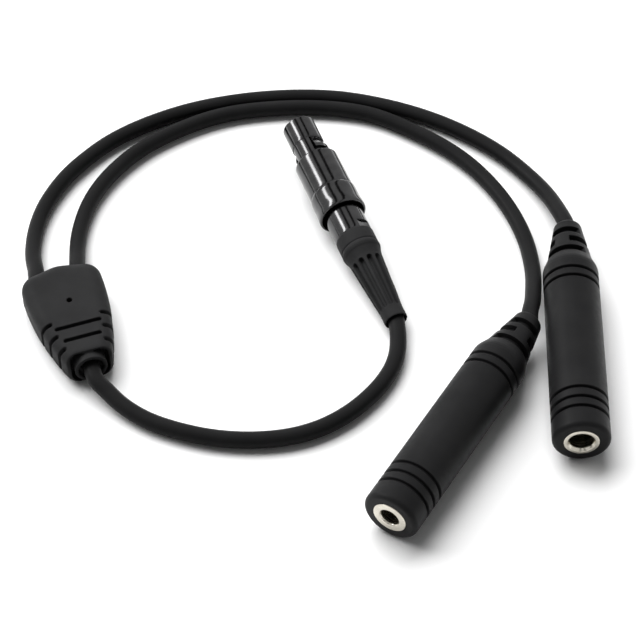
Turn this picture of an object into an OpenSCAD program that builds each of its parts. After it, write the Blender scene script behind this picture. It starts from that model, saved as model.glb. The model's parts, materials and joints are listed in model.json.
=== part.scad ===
// Headset adapter lead: a six-way push-pull plug, a moulded Y junction and two inline jack sockets.
// The origin is the middle of the junction's flat underside. +Z is up and the table is at z = 0.

/* [Cord] */
// Outside diameter of the three cords
cord_d = 4.7; // [4.2:0.1:4.8]
// Radial room between a cord and the bore that it enters
cord_gap = 0.05; // [0.03:0.01:0.08]
// Number of flat sides on a cord's tube
cord_sides = 10; // [8:1:12]

/* [Junction moulding] */
// Length from the trunk end to the middle of the branch end
junction_len = 37.5; // [35:0.5:39]
// Widest width, near the branch end
junction_w = 23; // [21:0.5:27]
// Width at the trunk end
junction_tail_w = 14; // [12:0.5:16]
// Height of the moulding
junction_h = 11; // [10:0.5:14]
// Radius of the rolled top edge
junction_edge = 3.8; // [2:0.1:4]
// How far the trunk end's face leans back from its foot to the top
junction_lean = 2.7; // [1:0.1:3]
// Turn of the moulding on the table, from +Y towards -X
junction_turn = 19.5; // [15:0.5:22]
// Distance between the two branch cords where they leave
branch_pitch = 12; // [10.8:0.1:12.6]
// Length of cord held in each end of the moulding
junction_grip = 9; // [6:0.5:10]
// Width of the flexing slots near the trunk end
junction_slot_w = 1.2; // [0.8:0.1:1.8]
// Depth of the flexing slots
junction_slot_depth = 1.2; // [0.6:0.1:1.5]
// Distance from one top slot, or one side slot, to the next
junction_slot_pitch = 4.7; // [4.2:0.1:5]
// Depth of the counterbore round the cord in the pocket's collar
junction_pocket = 1.6; // [0.8:0.1:2.5]
// Outside diameter of the collar in that pocket
junction_collar_d = 9.2; // [8.4:0.1:9.6]
// Diameter of the small core-pin hole in the top
pin_hole_d = 1.6; // [1:0.1:2.4]

/* [Jack housings] */
// Length from the front face to the tip of the strain relief
jack_len = 78.5; // [76:0.5:84]
// Diameter of the barrel
jack_d = 15.8; // [15.3:0.1:17]
// Distance from the front face to the rear shoulder
jack_barrel_len = 60; // [58:0.5:62]
// Radius of the rolled front edge
jack_front_edge = 1.3; // [0.6:0.1:1.8]
// Diameter of the strain relief just behind the shoulder
relief_root_d = 12.6; // [12:0.1:13.5]
// Diameter of the strain relief near its tip
relief_tip_d = 8.2; // [7.8:0.1:9]
// Width of each ring groove
groove_w = 0.8; // [0.4:0.1:1.2]
// Depth of each ring groove
groove_depth = 0.55; // [0.3:0.05:0.8]
// Width of the strain relief's part-round slots
relief_slot_w = 2.2; // [1.2:0.1:2.4]
// Depth of the strain relief's slots
relief_slot_depth = 1.5; // [0.8:0.1:1.5]
// Angle covered by one part-round slot
relief_slot_span = 130; // [110:5:140]
// Distance from one row of slots to the next
relief_slot_pitch = 4.25; // [3.8:0.05:4.4]
// Length of cord held in the strain relief
relief_grip = 13; // [11:0.5:14]

/* [Jack inserts] */
// Outside diameter of the bushing's bright front ring
bushing_ring_d = 9.6; // [9:0.1:10.4]
// Diameter of the bushing's neck
bushing_neck_d = 8.7; // [8.2:0.1:8.8]
// Length of the bushing's true bore
bushing_len = 14; // [12:0.5:15]
// Bore for the 6.35 mm headphone plug
headphone_bore_d = 6.4; // [6.36:0.01:6.44]
// Bore for the 5.23 mm microphone plug
microphone_bore_d = 5.28; // [5.24:0.01:5.32]
// Mouth diameter of the headphone jack's lead-in
headphone_mouth_d = 7.6; // [7:0.1:8]
// Mouth diameter of the microphone jack's lead-in
microphone_mouth_d = 5.9; // [5.7:0.1:7]
// Inside diameter of the can round the contacts
can_inner_d = 12; // [11.6:0.1:12.4]
// Wall of the can
can_wall = 0.35; // [0.2:0.05:0.4]
// Outside diameter of the contact carrier
carrier_d = 10.8; // [10.6:0.1:11]
// Depth from the front face to the end of the plug's way
plug_depth = 34; // [32:0.5:35]
// Depth of the tip contact's bend
tip_contact_at = 28.5; // [27:0.5:29]
// Depth of the ring contact's bend
ring_contact_at = 21.5; // [20:0.5:22.5]
// Thickness of the contact leaves and solder tags
leaf_t = 0.4; // [0.3:0.05:0.5]
// Width of the contact leaves
leaf_w = 2.4; // [2:0.1:2.8]

/* [Plug shells] */
// Diameter of the plug's nose
nose_d = 9.9; // [9.8:0.1:10.2]
// Length of the nose ahead of the barrel
nose_len = 14.6; // [14.2:0.1:16]
// Step down in diameter from the nose's pilot to the part round the latch windows
nose_relief = 0.4; // [0.1:0.05:0.5]
// Bore of the nose
nose_bore_d = 8.8; // [8.7:0.05:9]
// Diameter of the barrel at its front
barrel_front_d = 13.2; // [12.8:0.1:13.4]
// Diameter of the barrel at the seam
barrel_rear_d = 13.3; // [13.2:0.1:13.8]
// Length of the barrel from the nose to the seam
barrel_len = 12.9; // [12.5:0.1:14]
// Length of the grip sleeve behind the seam
grip_len = 8.6; // [8:0.1:10]
// Diameter of the grip sleeve behind the seam
grip_front_d = 13.9; // [13.6:0.1:14]
// Diameter of the grip sleeve's flared rim
grip_rim_d = 14.3; // [14:0.1:15]
// Sliding bore of the barrel and the grip sleeve
shell_bore_d = 11.5; // [11.45:0.05:11.6]
// Width of the latch windows
window_w = 6.4; // [6.2:0.1:6.8]
// Length of the latch windows
window_len = 5; // [4.8:0.1:5.2]

/* [Plug latch and insert] */
// Outside diameter of the latch fingers
latch_d = 8.5; // [8.4:0.05:8.5]
// Thickness of the latch fingers
latch_t = 0.6; // [0.5:0.05:0.65]
// Height of the latch teeth above the fingers
tooth_h = 1.05; // [0.9:0.05:1.1]
// Angle covered by one latch finger
finger_span = 68; // [60:1:70]
// Diameter of the contact pins
contact_d = 0.9; // [0.7:0.05:0.9]
// Radius of the circle of contact pins
contact_ring_r = 1.75; // [1.65:0.05:1.8]
// Number of contact pins
contact_count = 6; // [4:1:6]

/* [Plug rear] */
// Diameter of the collet nut
nut_d = 11.2; // [11.1:0.05:11.25]
// Length of the collet nut that shows behind the grip sleeve
nut_show = 8.8; // [7:0.1:9]
// Distance across the nut's two wrench flats
nut_flats = 10; // [9.6:0.1:10.8]
// Length of the wrench flats
nut_flat_len = 2.6; // [2:0.1:3.2]
// Length of the rubber bend relief behind the nut
boot_len = 31.4; // [30:0.1:36]
// Diameter of the bend relief's shoulder
boot_shoulder_d = 11.6; // [11.4:0.1:12.6]
// Diameter of the bend relief's cone at its front
boot_cone_d = 9.8; // [9.4:0.1:10.6]
// Diameter of the bend relief's end
boot_end_d = 6.8; // [6.4:0.1:7.4]
// Diameter of the flutes' round cutter
flute_d = 1.5; // [1:0.1:1.8]
// Number of flutes round the bend relief
flute_count = 11; // [6:1:12]

/* [Hidden] */

$fn = 64;
eps = 0.01;
// Radial room between fixed pieces that nest in each other
nest = 0.02;
rubber = [0.07, 0.07, 0.075];
nickel = [0.78, 0.76, 0.70];
black_chrome = [0.16, 0.16, 0.17];
brass = [0.80, 0.66, 0.36];
nylon = [0.82, 0.80, 0.74];
copper = [0.72, 0.42, 0.28];

// Cords
cord_r = cord_d / 2;
cord_bore_r = cord_r + cord_gap;
wire_d = 1.1;

// ---- Junction: local +Y runs along the moulding from the trunk end to the branch end ----
junction_front = -junction_len * 0.56;
junction_back = junction_len * 0.44;
junction_mid_z = junction_h / 2;
junction_base_edge = 3.2;
tail_puck_r = 4;
head_puck_r = 4.8;
crown_puck_r = 9;
// Where the moulding is widest, and where its tail's rounding starts
junction_wide_at = junction_back - 7.5;
junction_tail_at = junction_front + tail_puck_r;
junction_floor_at = junction_front + 4.1;
core_half_w = 6.7;
core_back_half_w = branch_pitch / 2 + 2.1;
core_h = 3.8;
splice_at = -3.5;
splice_d = 1.8;
splice_len = 5;
splice_pitch = 2.2;

// ---- Jacks: local +Z runs from the front face to the strain relief's tip ----
// Each seat is the point on the table below the middle of the front face, with the heading in z
headphone_seat = [138.9, -46.8, -1.5];
microphone_seat = [87.4, -71.3, -31];
// Roll of the strain relief's slots about each jack's own axis
headphone_roll = -118;
microphone_roll = -66;
jack_r = jack_d / 2;
ring_r = bushing_ring_d / 2;
ring_t = 1;
ring_proud = 0.15;
neck_r = bushing_neck_d / 2;
flange_t = 2;
can_r = can_inner_d / 2 + can_wall;
can_end = 47;
carrier_end = 44.5;
leaf_root = 41.3;
leaf_x = carrier_d / 2 - 0.9;
trough_x = leaf_x - leaf_t - 0.3;
leaf_reach = 0.3;
carrier_gap = 0.4;
window_side_gap = 0.4;
front_grooves = [6.7, 9.9, 13.2];
rear_grooves = [6.75, 3.55];
relief_first_row = jack_barrel_len + 4.95;
relief_tip_land = 4;
relief_rows = 1 + floor((jack_len - relief_tip_land - relief_first_row) / relief_slot_pitch);
relief_tip_edge = 1.6;
tag_at = leaf_root + 0.3;
tag_len = 4.4;

// ---- Plug: local +Z runs from the nose's tip to the bend relief's end, and local -X is up ----
seam_at = nose_len + barrel_len;
grip_end = seam_at + grip_len;
nut_end = grip_end + nut_show;
boot_end = nut_end + boot_len;
plug_seat = [76.1, 37.4];
plug_heading = -68.5;
grip_rim_edge = 0.5;
plug_tilt = atan((grip_rim_d - boot_end_d) / 2 / (boot_end - grip_end + grip_rim_edge));
latch_roll = 140;
nose_r = nose_d / 2;
nose_bore_r = nose_bore_d / 2;
shell_bore_r = shell_bore_d / 2;
shell_step = nose_len + 1.4;
spigot_len = 3;
spigot_r = shell_bore_r + 0.3;
window_at = nose_len - 6.4;
pilot_end = window_at - 0.3;
latch_r = latch_d / 2;
latch_in_r = latch_r - latch_t;
finger_front = window_at + 0.1;
tooth_at = window_at + 0.5;
tooth_flat_at = tooth_at + 2.5;
tooth_end = tooth_flat_at + 1.2;
finger_root = nose_len + 6.4;
latch_gap = 0.3;
latch_base_end = finger_root + 4.8;
latch_base_r = shell_bore_r - 0.2;
holder_front = nose_len - 8.6;
holder_r = latch_in_r - 0.45;
holder_rear_r = latch_in_r - nest;
holder_flat = 2.15;
holder_flat_end = finger_root - 4;
contact_tip = 1.8;
contact_cup_d = 1.25;
contact_cup_at = latch_base_end + 0.4;
contact_end = latch_base_end + 3.2;
insert_tube_r = 4.7;
insert_tube_end = contact_end + 5;
collet_at = insert_tube_end + 0.6;
collet_r = 4.2;
collet_end = collet_at + 6;
nut_r = nut_d / 2;
nut_front = seam_at + 2;
nut_bore_r = insert_tube_r + 0.2;
boot_spigot_r = 4.45;
boot_spigot_at = collet_end + 0.4;
boot_shoulder_at = nut_end + 5.7;
boot_bead_at = nut_end + 4.4;
boot_cone_from = boot_shoulder_at + 3.4;
boot_cone_to = boot_end - 3.8;
flute_from = boot_shoulder_at + 5.1;
flute_to = boot_end - 4.4;
cord_stop = collet_at + 0.3;

// ---- Placing ----
module at_junction() rotate([0, 0, junction_turn]) children();

module at_jack(seat)
    translate([seat[0], seat[1], jack_r]) rotate([-90, 0, seat[2]]) children();

module at_plug()
    translate([plug_seat[0], plug_seat[1], grip_rim_d / 2 * cos(plug_tilt)])
        rotate([0, 90 + plug_tilt, plug_heading])
            translate([0, 0, -grip_end + grip_rim_edge]) children();

// The same places as points
function on_junction(u, v) = [
    u * cos(junction_turn) - v * sin(junction_turn),
    u * sin(junction_turn) + v * cos(junction_turn),
    junction_mid_z];

function on_jack(seat, s) = [
    seat[0] - s * sin(seat[2]),
    seat[1] + s * cos(seat[2]),
    jack_r];

function on_plug(s) = let (along = s - grip_end + grip_rim_edge) [
    plug_seat[0] + along * cos(plug_tilt) * cos(plug_heading),
    plug_seat[1] + along * cos(plug_tilt) * sin(plug_heading),
    grip_rim_d / 2 * cos(plug_tilt) - along * sin(plug_tilt)];

// ---- Cord routes ----
// Points between the ends are [x, y, height of the cord's underside above the table]
headphone_lay = [
    [-11.6, 17, 2.5], [-12.8, 22.2, 1.3], [-13.6, 29, 0.3], [-13.3, 37, 0], [-11.7, 45, 0],
    [-9.1, 52, 0], [-5.7, 58.5, 0], [-1, 65, 0], [4.7, 71.3, 0], [11.7, 77, 0], [20, 82, 0],
    [30, 86.5, 0], [40.5, 89.6, 0], [51.5, 91.6, 0], [63.5, 92.4, 0], [75.5, 91.7, 0],
    [86.5, 89.2, 0], [97.4, 85.3, 0], [107.1, 80.4, 0], [116.3, 74.2, 0], [124.7, 66.7, 0],
    [131.4, 58.1, 0.4], [136.3, 49.1, 1.7], [139, 40.4, 3.9], [140.1, 35.9, 5]];
microphone_lay = [
    [-0.1, 20.5, 2.4], [-0.5, 25, 1.2], [-0.8, 31, 0.3], [-0.2, 39, 0], [1.6, 47.1, 0],
    [4.5, 54.3, 0], [8.5, 61, 0], [13.5, 67.3, 0], [19.8, 73.1, 0], [26.6, 77.8, 0],
    [33.4, 81.6, 0], [42, 84.9, 0], [52, 86.8, 0], [63.4, 87.6, 0], [74.9, 86.9, 0],
    [84.9, 84.5, 0], [94.4, 79.5, 0], [104.4, 72.5, 0], [112.1, 65.4, 0], [118.4, 57.3, 0],
    [123.3, 48.8, 0], [127, 39.8, 0], [129.3, 31, 0.2], [130.3, 22, 1], [130.3, 14.5, 2.3],
    [129.7, 8, 3.8], [129, 2.9, 4.9], [128.1, -1.2, 5.4]];
trunk_lay = [
    [8.2, -22.8, 2.6], [10.9, -25.6, 1.7], [14.2, -28.8, 0.8], [18.6, -32.3, 0.2],
    [23.9, -35.5, 0], [30.7, -38.3, 0], [38.5, -40.5, 0], [46.7, -41.6, 0], [55, -41.5, 0],
    [63, -40.1, 0], [70.3, -37.2, 0], [77.1, -32.6, 0], [83, -26.7, 0], [87.7, -20, 0],
    [90.6, -12.7, 0.1], [91.3, -6.7, 0.5], [91.2, -2.9, 0.8]];

function lifted(points) = [for (p = points) [p[0], p[1], p[2] + cord_r]];

headphone_route = concat(
    [on_junction(-branch_pitch / 2, junction_back - junction_grip),
        on_junction(-branch_pitch / 2, junction_back - 0.5)],
    lifted(headphone_lay),
    [on_jack(headphone_seat, jack_len), on_jack(headphone_seat, jack_len - relief_grip)]);
microphone_route = concat(
    [on_junction(branch_pitch / 2, junction_back - junction_grip),
        on_junction(branch_pitch / 2, junction_back - 0.5)],
    lifted(microphone_lay),
    [on_jack(microphone_seat, jack_len), on_jack(microphone_seat, jack_len - relief_grip)]);
trunk_route = concat(
    [on_junction(0, junction_front + junction_grip), on_junction(0, junction_front)],
    lifted(trunk_lay),
    [on_plug(boot_end), on_plug(cord_stop)]);

// ---- Cord tube: one ring of points at each route point, square to the route there ----
function unit(v) = v / norm(v);

function heading_at(route, i) =
    i == 0 ? unit(route[1] - route[0])
    : i == len(route) - 1 ? unit(route[i] - route[i - 1])
    : unit(unit(route[i + 1] - route[i]) + unit(route[i] - route[i - 1]));

function cord_ring(route, i) =
    let (ahead = heading_at(route, i), side = unit(cross(ahead, [0, 0, 1])), over = cross(side, ahead))
    [for (k = [0 : cord_sides - 1]) let (a = 360 * k / cord_sides - 90)
        route[i] + cord_r * (cos(a) * side + sin(a) * over)];

module cord_tube(route) {
    rings = len(route);
    n = cord_sides;
    walls = [for (i = [0 : rings - 2], k = [0 : n - 1])
        [i * n + k, (i + 1) * n + k, (i + 1) * n + (k + 1) % n, i * n + (k + 1) % n]];
    first_cap = [for (k = [0 : n - 1]) k];
    last_cap = [for (k = [n - 1 : -1 : 0]) (rings - 1) * n + k];
    polyhedron([for (i = [0 : rings - 1]) each cord_ring(route, i)],
        concat(walls, [first_cap], [last_cap]), convexity = 8);
}

module trunk_cord() color(rubber) cord_tube(trunk_route);
module headphone_cord() color(rubber) cord_tube(headphone_route);
module microphone_cord() color(rubber) cord_tube(microphone_route);

// A straight round rod from one point to another
module rod(from, to, d) {
    v = to - from;
    translate(from)
        rotate([0, acos(v[2] / norm(v)), atan2(v[1], v[0])])
            cylinder(h = norm(v), d = d, $fn = 24);
}

// A sector of a ring, from radius r1 to r2, over the angle span centred on local +X
module ring_sector(r1, r2, z1, z2, span)
    rotate([0, 0, -span / 2])
        rotate_extrude(angle = span) translate([r1, z1]) square([r2 - r1, z2 - z1]);

// ---- Junction ----
// A flat round puck with a rolled top edge and a smaller rolled bottom edge
module puck(r, h, top, base, fn) {
    steps = 5;
    rotate_extrude($fn = fn) polygon(concat(
        [[0, 0]],
        [for (i = [0 : steps]) let (a = -90 + 90 * i / steps)
            [r - base + base * cos(a), base + base * sin(a)]],
        [for (i = [0 : steps]) let (a = 90 * i / steps) [r - top + top * cos(a), h - top + top * sin(a)]],
        [[0, h]]));
}

// Half the moulding's width at a distance v along it: the sides bow out towards the branch end
function junction_half_w(v) = let (share = (junction_wide_at - v) / (junction_wide_at - junction_tail_at))
    junction_w / 2 - (junction_w - junction_tail_w) / 2 * pow(max(0, share), 2);

module junction_puck(u, v, r, fn = 24)
    translate([u, v, 0]) puck(r, junction_h, junction_edge, junction_base_edge, fn);

// The trunk end's face leans back from its foot
module junction_body() difference() {
    hull() {
        for (side = [-1, 1]) {
            for (share = [0, 0.23, 0.48, 0.73])
                let (v = junction_tail_at + share * (junction_wide_at - junction_tail_at))
                    junction_puck(side * (junction_half_w(v) - tail_puck_r), v, tail_puck_r);
            junction_puck(side * (junction_w / 2 - head_puck_r), junction_back - head_puck_r - 1.5, head_puck_r);
        }
        junction_puck(0, junction_back - crown_puck_r, crown_puck_r, 48);
    }
    translate([0, junction_front, 0]) rotate([-atan(junction_lean / junction_h), 0, 0])
        translate([-20, -10, -5]) cube([40, 10, 40]);
}

// Two slots across the top, and three down each side between them
module junction_slots() {
    first_side = junction_front + 5.5;
    for (i = [0 : 2], side = [-1, 1]) {
        v = first_side + i * junction_slot_pitch;
        side_depth = 1.8 * junction_slot_depth + 0.3 * i;
        translate([side * (junction_half_w(v) - side_depth + 5), v, 11.5])
            cube([10, junction_slot_w, 20], center = true);
    }
    for (i = [0 : 1]) {
        v = first_side + (i + 0.5) * junction_slot_pitch;
        half = junction_half_w(v) - junction_edge + 1;
        translate([0, v, junction_h - junction_slot_depth + 5])
            cube([2 * half, junction_slot_w, 10], center = true);
    }
}

// A pocket takes up the whole trunk end, inside a thin rim
module junction_end_pocket() {
    half = junction_tail_w / 2 - 1.6;
    low = 1.2;
    high = junction_h - 0.75;
    translate([0, junction_floor_at, 0]) rotate([90, 0, 0]) linear_extrude(8) hull() {
        for (x = [-1, 1]) {
            translate([x * (half - 2), high - 2]) circle(r = 2);
            translate([x * (half - 3), low + 3]) circle(r = 3);
        }
    }
}

// A collar round the cord stands in the pocket
module junction_collar() translate([0, junction_floor_at + 0.5, junction_mid_z]) rotate([90, 0, 0])
    cylinder(h = 4.2, d = junction_collar_d);

module junction_moulding() color(rubber) at_junction() difference() {
    pin_hole_depth = 2.4;
    core_front = junction_front + junction_grip - eps;
    core_back = junction_back - junction_grip + eps;
    collar_front = junction_floor_at - 3.7;
    union() {
        difference() {
            junction_body();
            junction_slots();
            junction_end_pocket();
        }
        junction_collar();
    }
    translate([0, collar_front - 1, junction_mid_z]) rotate([-90, 0, 0])
        cylinder(h = junction_pocket + 1, d = junction_collar_d - 2);
    translate([0, junction_front - 1, junction_mid_z]) rotate([-90, 0, 0])
        cylinder(h = junction_grip + 1, r = cord_bore_r);
    for (side = [-1, 1])
        translate([side * branch_pitch / 2, junction_back - junction_grip, junction_mid_z])
            rotate([-90, 0, 0]) cylinder(h = junction_grip + 5, r = cord_bore_r);
    // Room for the splices, widening away from the trunk cord
    translate([0, 0, junction_mid_z - core_h / 2]) linear_extrude(core_h) polygon([
        [-2.2, core_front], [2.2, core_front], [core_half_w, splice_at - 1.2],
        [core_half_w, splice_at + splice_len], [core_back_half_w, core_back], [-core_back_half_w, core_back],
        [-core_half_w, splice_at + splice_len], [-core_half_w, splice_at - 1.2]]);
    translate([0, 1, junction_h - pin_hole_depth]) cylinder(h = pin_hole_depth + 1, d = pin_hole_d, $fn = 24);
}

function splice_u(i) = (i - 2.5) * splice_pitch;

// Six crimp sleeves in a row, each joining one trunk wire to one branch wire
module junction_splices() color(nickel) at_junction()
    for (i = [0 : 5])
        translate([splice_u(i), splice_at, junction_mid_z]) rotate([-90, 0, 0]) difference() {
            cylinder(h = splice_len, d = splice_d, $fn = 24);
            translate([0, 0, -1]) cylinder(h = splice_len + 2, d = wire_d + 2 * nest, $fn = 24);
        }

// The wires fan out from the trunk cord, pass through the sleeves and gather at the two branch cords
module junction_wires() color(copper) at_junction() {
    trunk_pitch = 0.62;
    branch_wire_pitch = 1.2;
    bead_d = wire_d + 0.3;
    bead_gap = 0.9;
    end_gap = 0.35;
    for (i = [0 : 5]) {
        side = i < 3 ? -1 : 1;
        branch_u = side * branch_pitch / 2 + (i - (i < 3 ? 1 : 4)) * branch_wire_pitch;
        from = [(i - 2.5) * trunk_pitch, junction_front + junction_grip + end_gap, junction_mid_z];
        enter = [splice_u(i), splice_at - bead_gap, junction_mid_z];
        leave = [splice_u(i), splice_at + splice_len + bead_gap, junction_mid_z];
        to = [branch_u, junction_back - junction_grip - end_gap, junction_mid_z];
        rod(from, enter, wire_d);
        translate(enter) sphere(d = bead_d, $fn = 24);
        rod(enter, leave, wire_d);
        translate(leave) sphere(d = bead_d, $fn = 24);
        rod(leave, to, wire_d);
    }
}

// ---- Jacks ----
// Half-section of the housing: radius across, distance from the front face up
module housing_outline() {
    tip_edge = relief_tip_edge;
    relief_tip_r = relief_tip_d / 2;
    polygon(concat(
        [[0, 0]],
        [for (i = [0 : 6]) let (a = -90 + 15 * i)
            [jack_r - jack_front_edge * (1 - cos(a)), jack_front_edge * (1 + sin(a))]],
        [[jack_r, jack_barrel_len], [jack_r - 0.25, jack_barrel_len + 1.2],
            [jack_r - 0.8, jack_barrel_len + 2.6], [relief_root_d / 2 + 0.1, jack_barrel_len + 4.1],
            [relief_root_d / 2 - 0.2, jack_barrel_len + 6]],
        [for (i = [0 : 4]) let (a = 18 * i)
            [relief_tip_r - tip_edge + tip_edge * cos(a), jack_len - tip_edge + tip_edge * sin(a)]],
        [[0, jack_len]]));
}

// Radius of the strain relief at a distance from the front face
function relief_r(s) =
    let (s1 = jack_barrel_len + 6, s2 = jack_len - relief_tip_edge, r1 = relief_root_d / 2 - 0.2, r2 = relief_tip_d / 2)
    r1 + (r2 - r1) * (s - s1) / (s2 - s1);

// The hollow that holds the bushing, the can, the wires and the cord
module housing_hollow() {
    wire_way_r = 2;
    cord_end = jack_len - relief_grip;
    polygon([[0, -1], [ring_r + nest, -1], [ring_r + nest, ring_t], [neck_r + nest, ring_t],
        [neck_r + nest, bushing_len - flange_t], [can_r + nest, bushing_len - flange_t],
        [can_r + nest, can_end], [can_r - 1, can_end + 0.8], [wire_way_r, cord_end],
        [cord_bore_r, cord_end], [cord_bore_r, jack_len + 1], [0, jack_len + 1]]);
}

module jack_housing(roll) difference() {
    rotate_extrude() difference() {
        housing_outline();
        housing_hollow();
        for (s = concat(front_grooves, [for (g = rear_grooves) jack_barrel_len - g]))
            translate([jack_r - groove_depth, s - groove_w / 2]) square([2, groove_w]);
    }
    // Rows of part-round slots, each row turned a quarter from the last
    for (i = [0 : 1 : relief_rows - 1], half = [0, 180]) {
        s = relief_first_row + i * relief_slot_pitch;
        rotate([0, 0, roll + 90 * (i % 2) + half])
            ring_sector(relief_r(s) - relief_slot_depth, jack_r, s - relief_slot_w / 2,
                s + relief_slot_w / 2, relief_slot_span);
    }
}

module jack_bushing(bore_d, mouth_d) rotate_extrude() polygon([
    [mouth_d / 2, -ring_proud], [ring_r - 0.15, -ring_proud], [ring_r, 0], [ring_r, ring_t],
    [neck_r, ring_t], [neck_r, bushing_len - flange_t], [can_r, bushing_len - flange_t],
    [can_r, bushing_len], [bore_d / 2, bushing_len],
    [bore_d / 2, (mouth_d - bore_d) / 2 - ring_proud + 0.1]]);

module jack_can() difference() {
    translate([0, 0, bushing_len]) cylinder(h = can_end - bushing_len, r = can_r);
    translate([0, 0, bushing_len - 1]) cylinder(h = can_end - bushing_len + 2, d = can_inner_d);
}

// Nylon tube with a window and a trough on two sides for the leaves, and slots for the tags
module jack_carrier(bore_d) {
    window_w = leaf_w + 2 * window_side_gap;
    window_from = ring_contact_at - 3.2;
    rim_len = 1.5;
    difference() {
        translate([0, 0, bushing_len]) union() {
            cylinder(h = carrier_end - bushing_len, d = carrier_d);
            cylinder(h = rim_len, r = can_inner_d / 2 - nest);
            translate([0, 0, carrier_end - bushing_len - rim_len])
                cylinder(h = rim_len, r = can_inner_d / 2 - nest);
        }
        translate([0, 0, bushing_len - 1])
            cylinder(h = plug_depth - bushing_len + 1, r = bore_d / 2 + carrier_gap);
        for (half = [0, 180]) rotate([0, 0, half]) {
            translate([1, -window_w / 2, window_from]) cube([10, window_w, plug_depth + 0.4 - window_from]);
            translate([trough_x, -window_w / 2, plug_depth]) cube([10, window_w, carrier_end]);
        }
        translate([-window_w / 2, trough_x, leaf_root]) cube([window_w, 10, carrier_end]);
    }
}

// A sprung leaf that runs forward from its root and bends in to touch the plug at a depth
module jack_leaf(bore_d, bend_at) {
    reach_x = bore_d / 2 - leaf_reach;
    rotate([90, 0, 0]) linear_extrude(leaf_w, center = true) polygon([
        [leaf_x, leaf_root], [leaf_x - leaf_t, leaf_root], [leaf_x - leaf_t, bend_at + 2.2],
        [reach_x, bend_at + 0.3], [reach_x, bend_at - 0.3], [leaf_x - 1, bend_at - 1.9],
        [leaf_x - 0.7, bend_at - 1.6], [reach_x + leaf_t, bend_at - 0.2],
        [reach_x + leaf_t, bend_at + 0.2], [leaf_x, bend_at + 2.3]]);
}

// Two tags behind the leaves and the sleeve's tag beside them, each with a foot on the trough's floor
module jack_solder_tags() for (a = [0, 90, 180]) rotate([0, 0, a])
    rotate([90, 0, 0]) linear_extrude(1.6, center = true) polygon([
        [trough_x + nest, tag_at], [leaf_x, tag_at], [leaf_x, tag_at + tag_len],
        [leaf_x - leaf_t, tag_at + tag_len], [leaf_x - leaf_t, tag_at + 2], [trough_x + nest, tag_at + 2]]);

module jack_wires() for (a = [0, 90, 180]) rotate([0, 0, a])
    rod([leaf_x - leaf_t / 2, 0, tag_at + tag_len], [0.9, 0, jack_len - relief_grip - 0.2], wire_d);

module headphone_jack_housing() color(rubber) at_jack(headphone_seat) jack_housing(headphone_roll);
module headphone_jack_bushing() color(nickel) at_jack(headphone_seat)
    jack_bushing(headphone_bore_d, headphone_mouth_d);
module headphone_jack_can() color(nickel) at_jack(headphone_seat) jack_can();
module headphone_jack_carrier() color(nylon) at_jack(headphone_seat) jack_carrier(headphone_bore_d);
module headphone_tip_contact() color(brass) at_jack(headphone_seat)
    jack_leaf(headphone_bore_d, tip_contact_at);
module headphone_ring_contact() color(brass) at_jack(headphone_seat) rotate([0, 0, 180])
    jack_leaf(headphone_bore_d, ring_contact_at);
module headphone_solder_tags() color(brass) at_jack(headphone_seat) jack_solder_tags();
module headphone_wires() color(copper) at_jack(headphone_seat) jack_wires();

module microphone_jack_housing() color(rubber) at_jack(microphone_seat) jack_housing(microphone_roll);
module microphone_jack_bushing() color(nickel) at_jack(microphone_seat)
    jack_bushing(microphone_bore_d, microphone_mouth_d);
module microphone_jack_can() color(nickel) at_jack(microphone_seat) jack_can();
module microphone_jack_carrier() color(nylon) at_jack(microphone_seat) jack_carrier(microphone_bore_d);
module microphone_tip_contact() color(brass) at_jack(microphone_seat)
    jack_leaf(microphone_bore_d, tip_contact_at);
module microphone_ring_contact() color(brass) at_jack(microphone_seat) rotate([0, 0, 180])
    jack_leaf(microphone_bore_d, ring_contact_at);
module microphone_solder_tags() color(brass) at_jack(microphone_seat) jack_solder_tags();
module microphone_wires() color(copper) at_jack(microphone_seat) jack_wires();

// ---- Plug ----
// Nose and barrel in one turned shell, with two latch windows and a key rib inside the nose
module plug_outer_shell() color(black_chrome) at_plug() {
    rib_w = 1.2;
    rib_h = 0.5;
    difference() {
        rotate_extrude() polygon([
            [nose_bore_r + 0.2, 0], [nose_r - 0.3, 0], [nose_r, 0.3], [nose_r, pilot_end],
            [nose_r - nose_relief / 2, pilot_end], [nose_r - nose_relief / 2, nose_len],
            [barrel_front_d / 2 - 0.5, nose_len], [barrel_front_d / 2, nose_len + 0.5],
            [barrel_rear_d / 2, seam_at - 0.15], [barrel_rear_d / 2 - 0.15, seam_at],
            [spigot_r + nest, seam_at], [spigot_r + nest, seam_at - spigot_len],
            [shell_bore_r, seam_at - spigot_len], [shell_bore_r, shell_step],
            [nose_bore_r, shell_step], [nose_bore_r, 0.2]]);
        for (half = [0, 180]) rotate([0, 0, latch_roll + half])
            translate([2, -window_w / 2, window_at]) cube([6, window_w, window_len]);
    }
    rotate([0, 0, latch_roll + 90])
        translate([nose_bore_r - rib_h, -rib_w / 2, 0.8]) cube([rib_h + 0.1, rib_w, 4]);
}

// Rear skirt of the shell: its spigot screws into the barrel, and its rim flares round the nut
module plug_grip_sleeve() color(black_chrome) at_plug() rotate_extrude() polygon([
    [barrel_rear_d / 2 - 0.15, seam_at], [barrel_rear_d / 2, seam_at + 0.15],
    [grip_front_d / 2, seam_at + 1], [grip_front_d / 2, seam_at + 5.2],
    [grip_rim_d / 2, grip_end - 1.4], [grip_rim_d / 2, grip_end - grip_rim_edge],
    [grip_rim_d / 2 - 0.25, grip_end], [grip_rim_d / 2 - 0.75, grip_end],
    [grip_rim_d / 2 - 0.95, grip_end - 2.8], [shell_bore_r, grip_end - 4.6],
    [shell_bore_r, seam_at - spigot_len], [spigot_r, seam_at - spigot_len], [spigot_r, seam_at]]);

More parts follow.
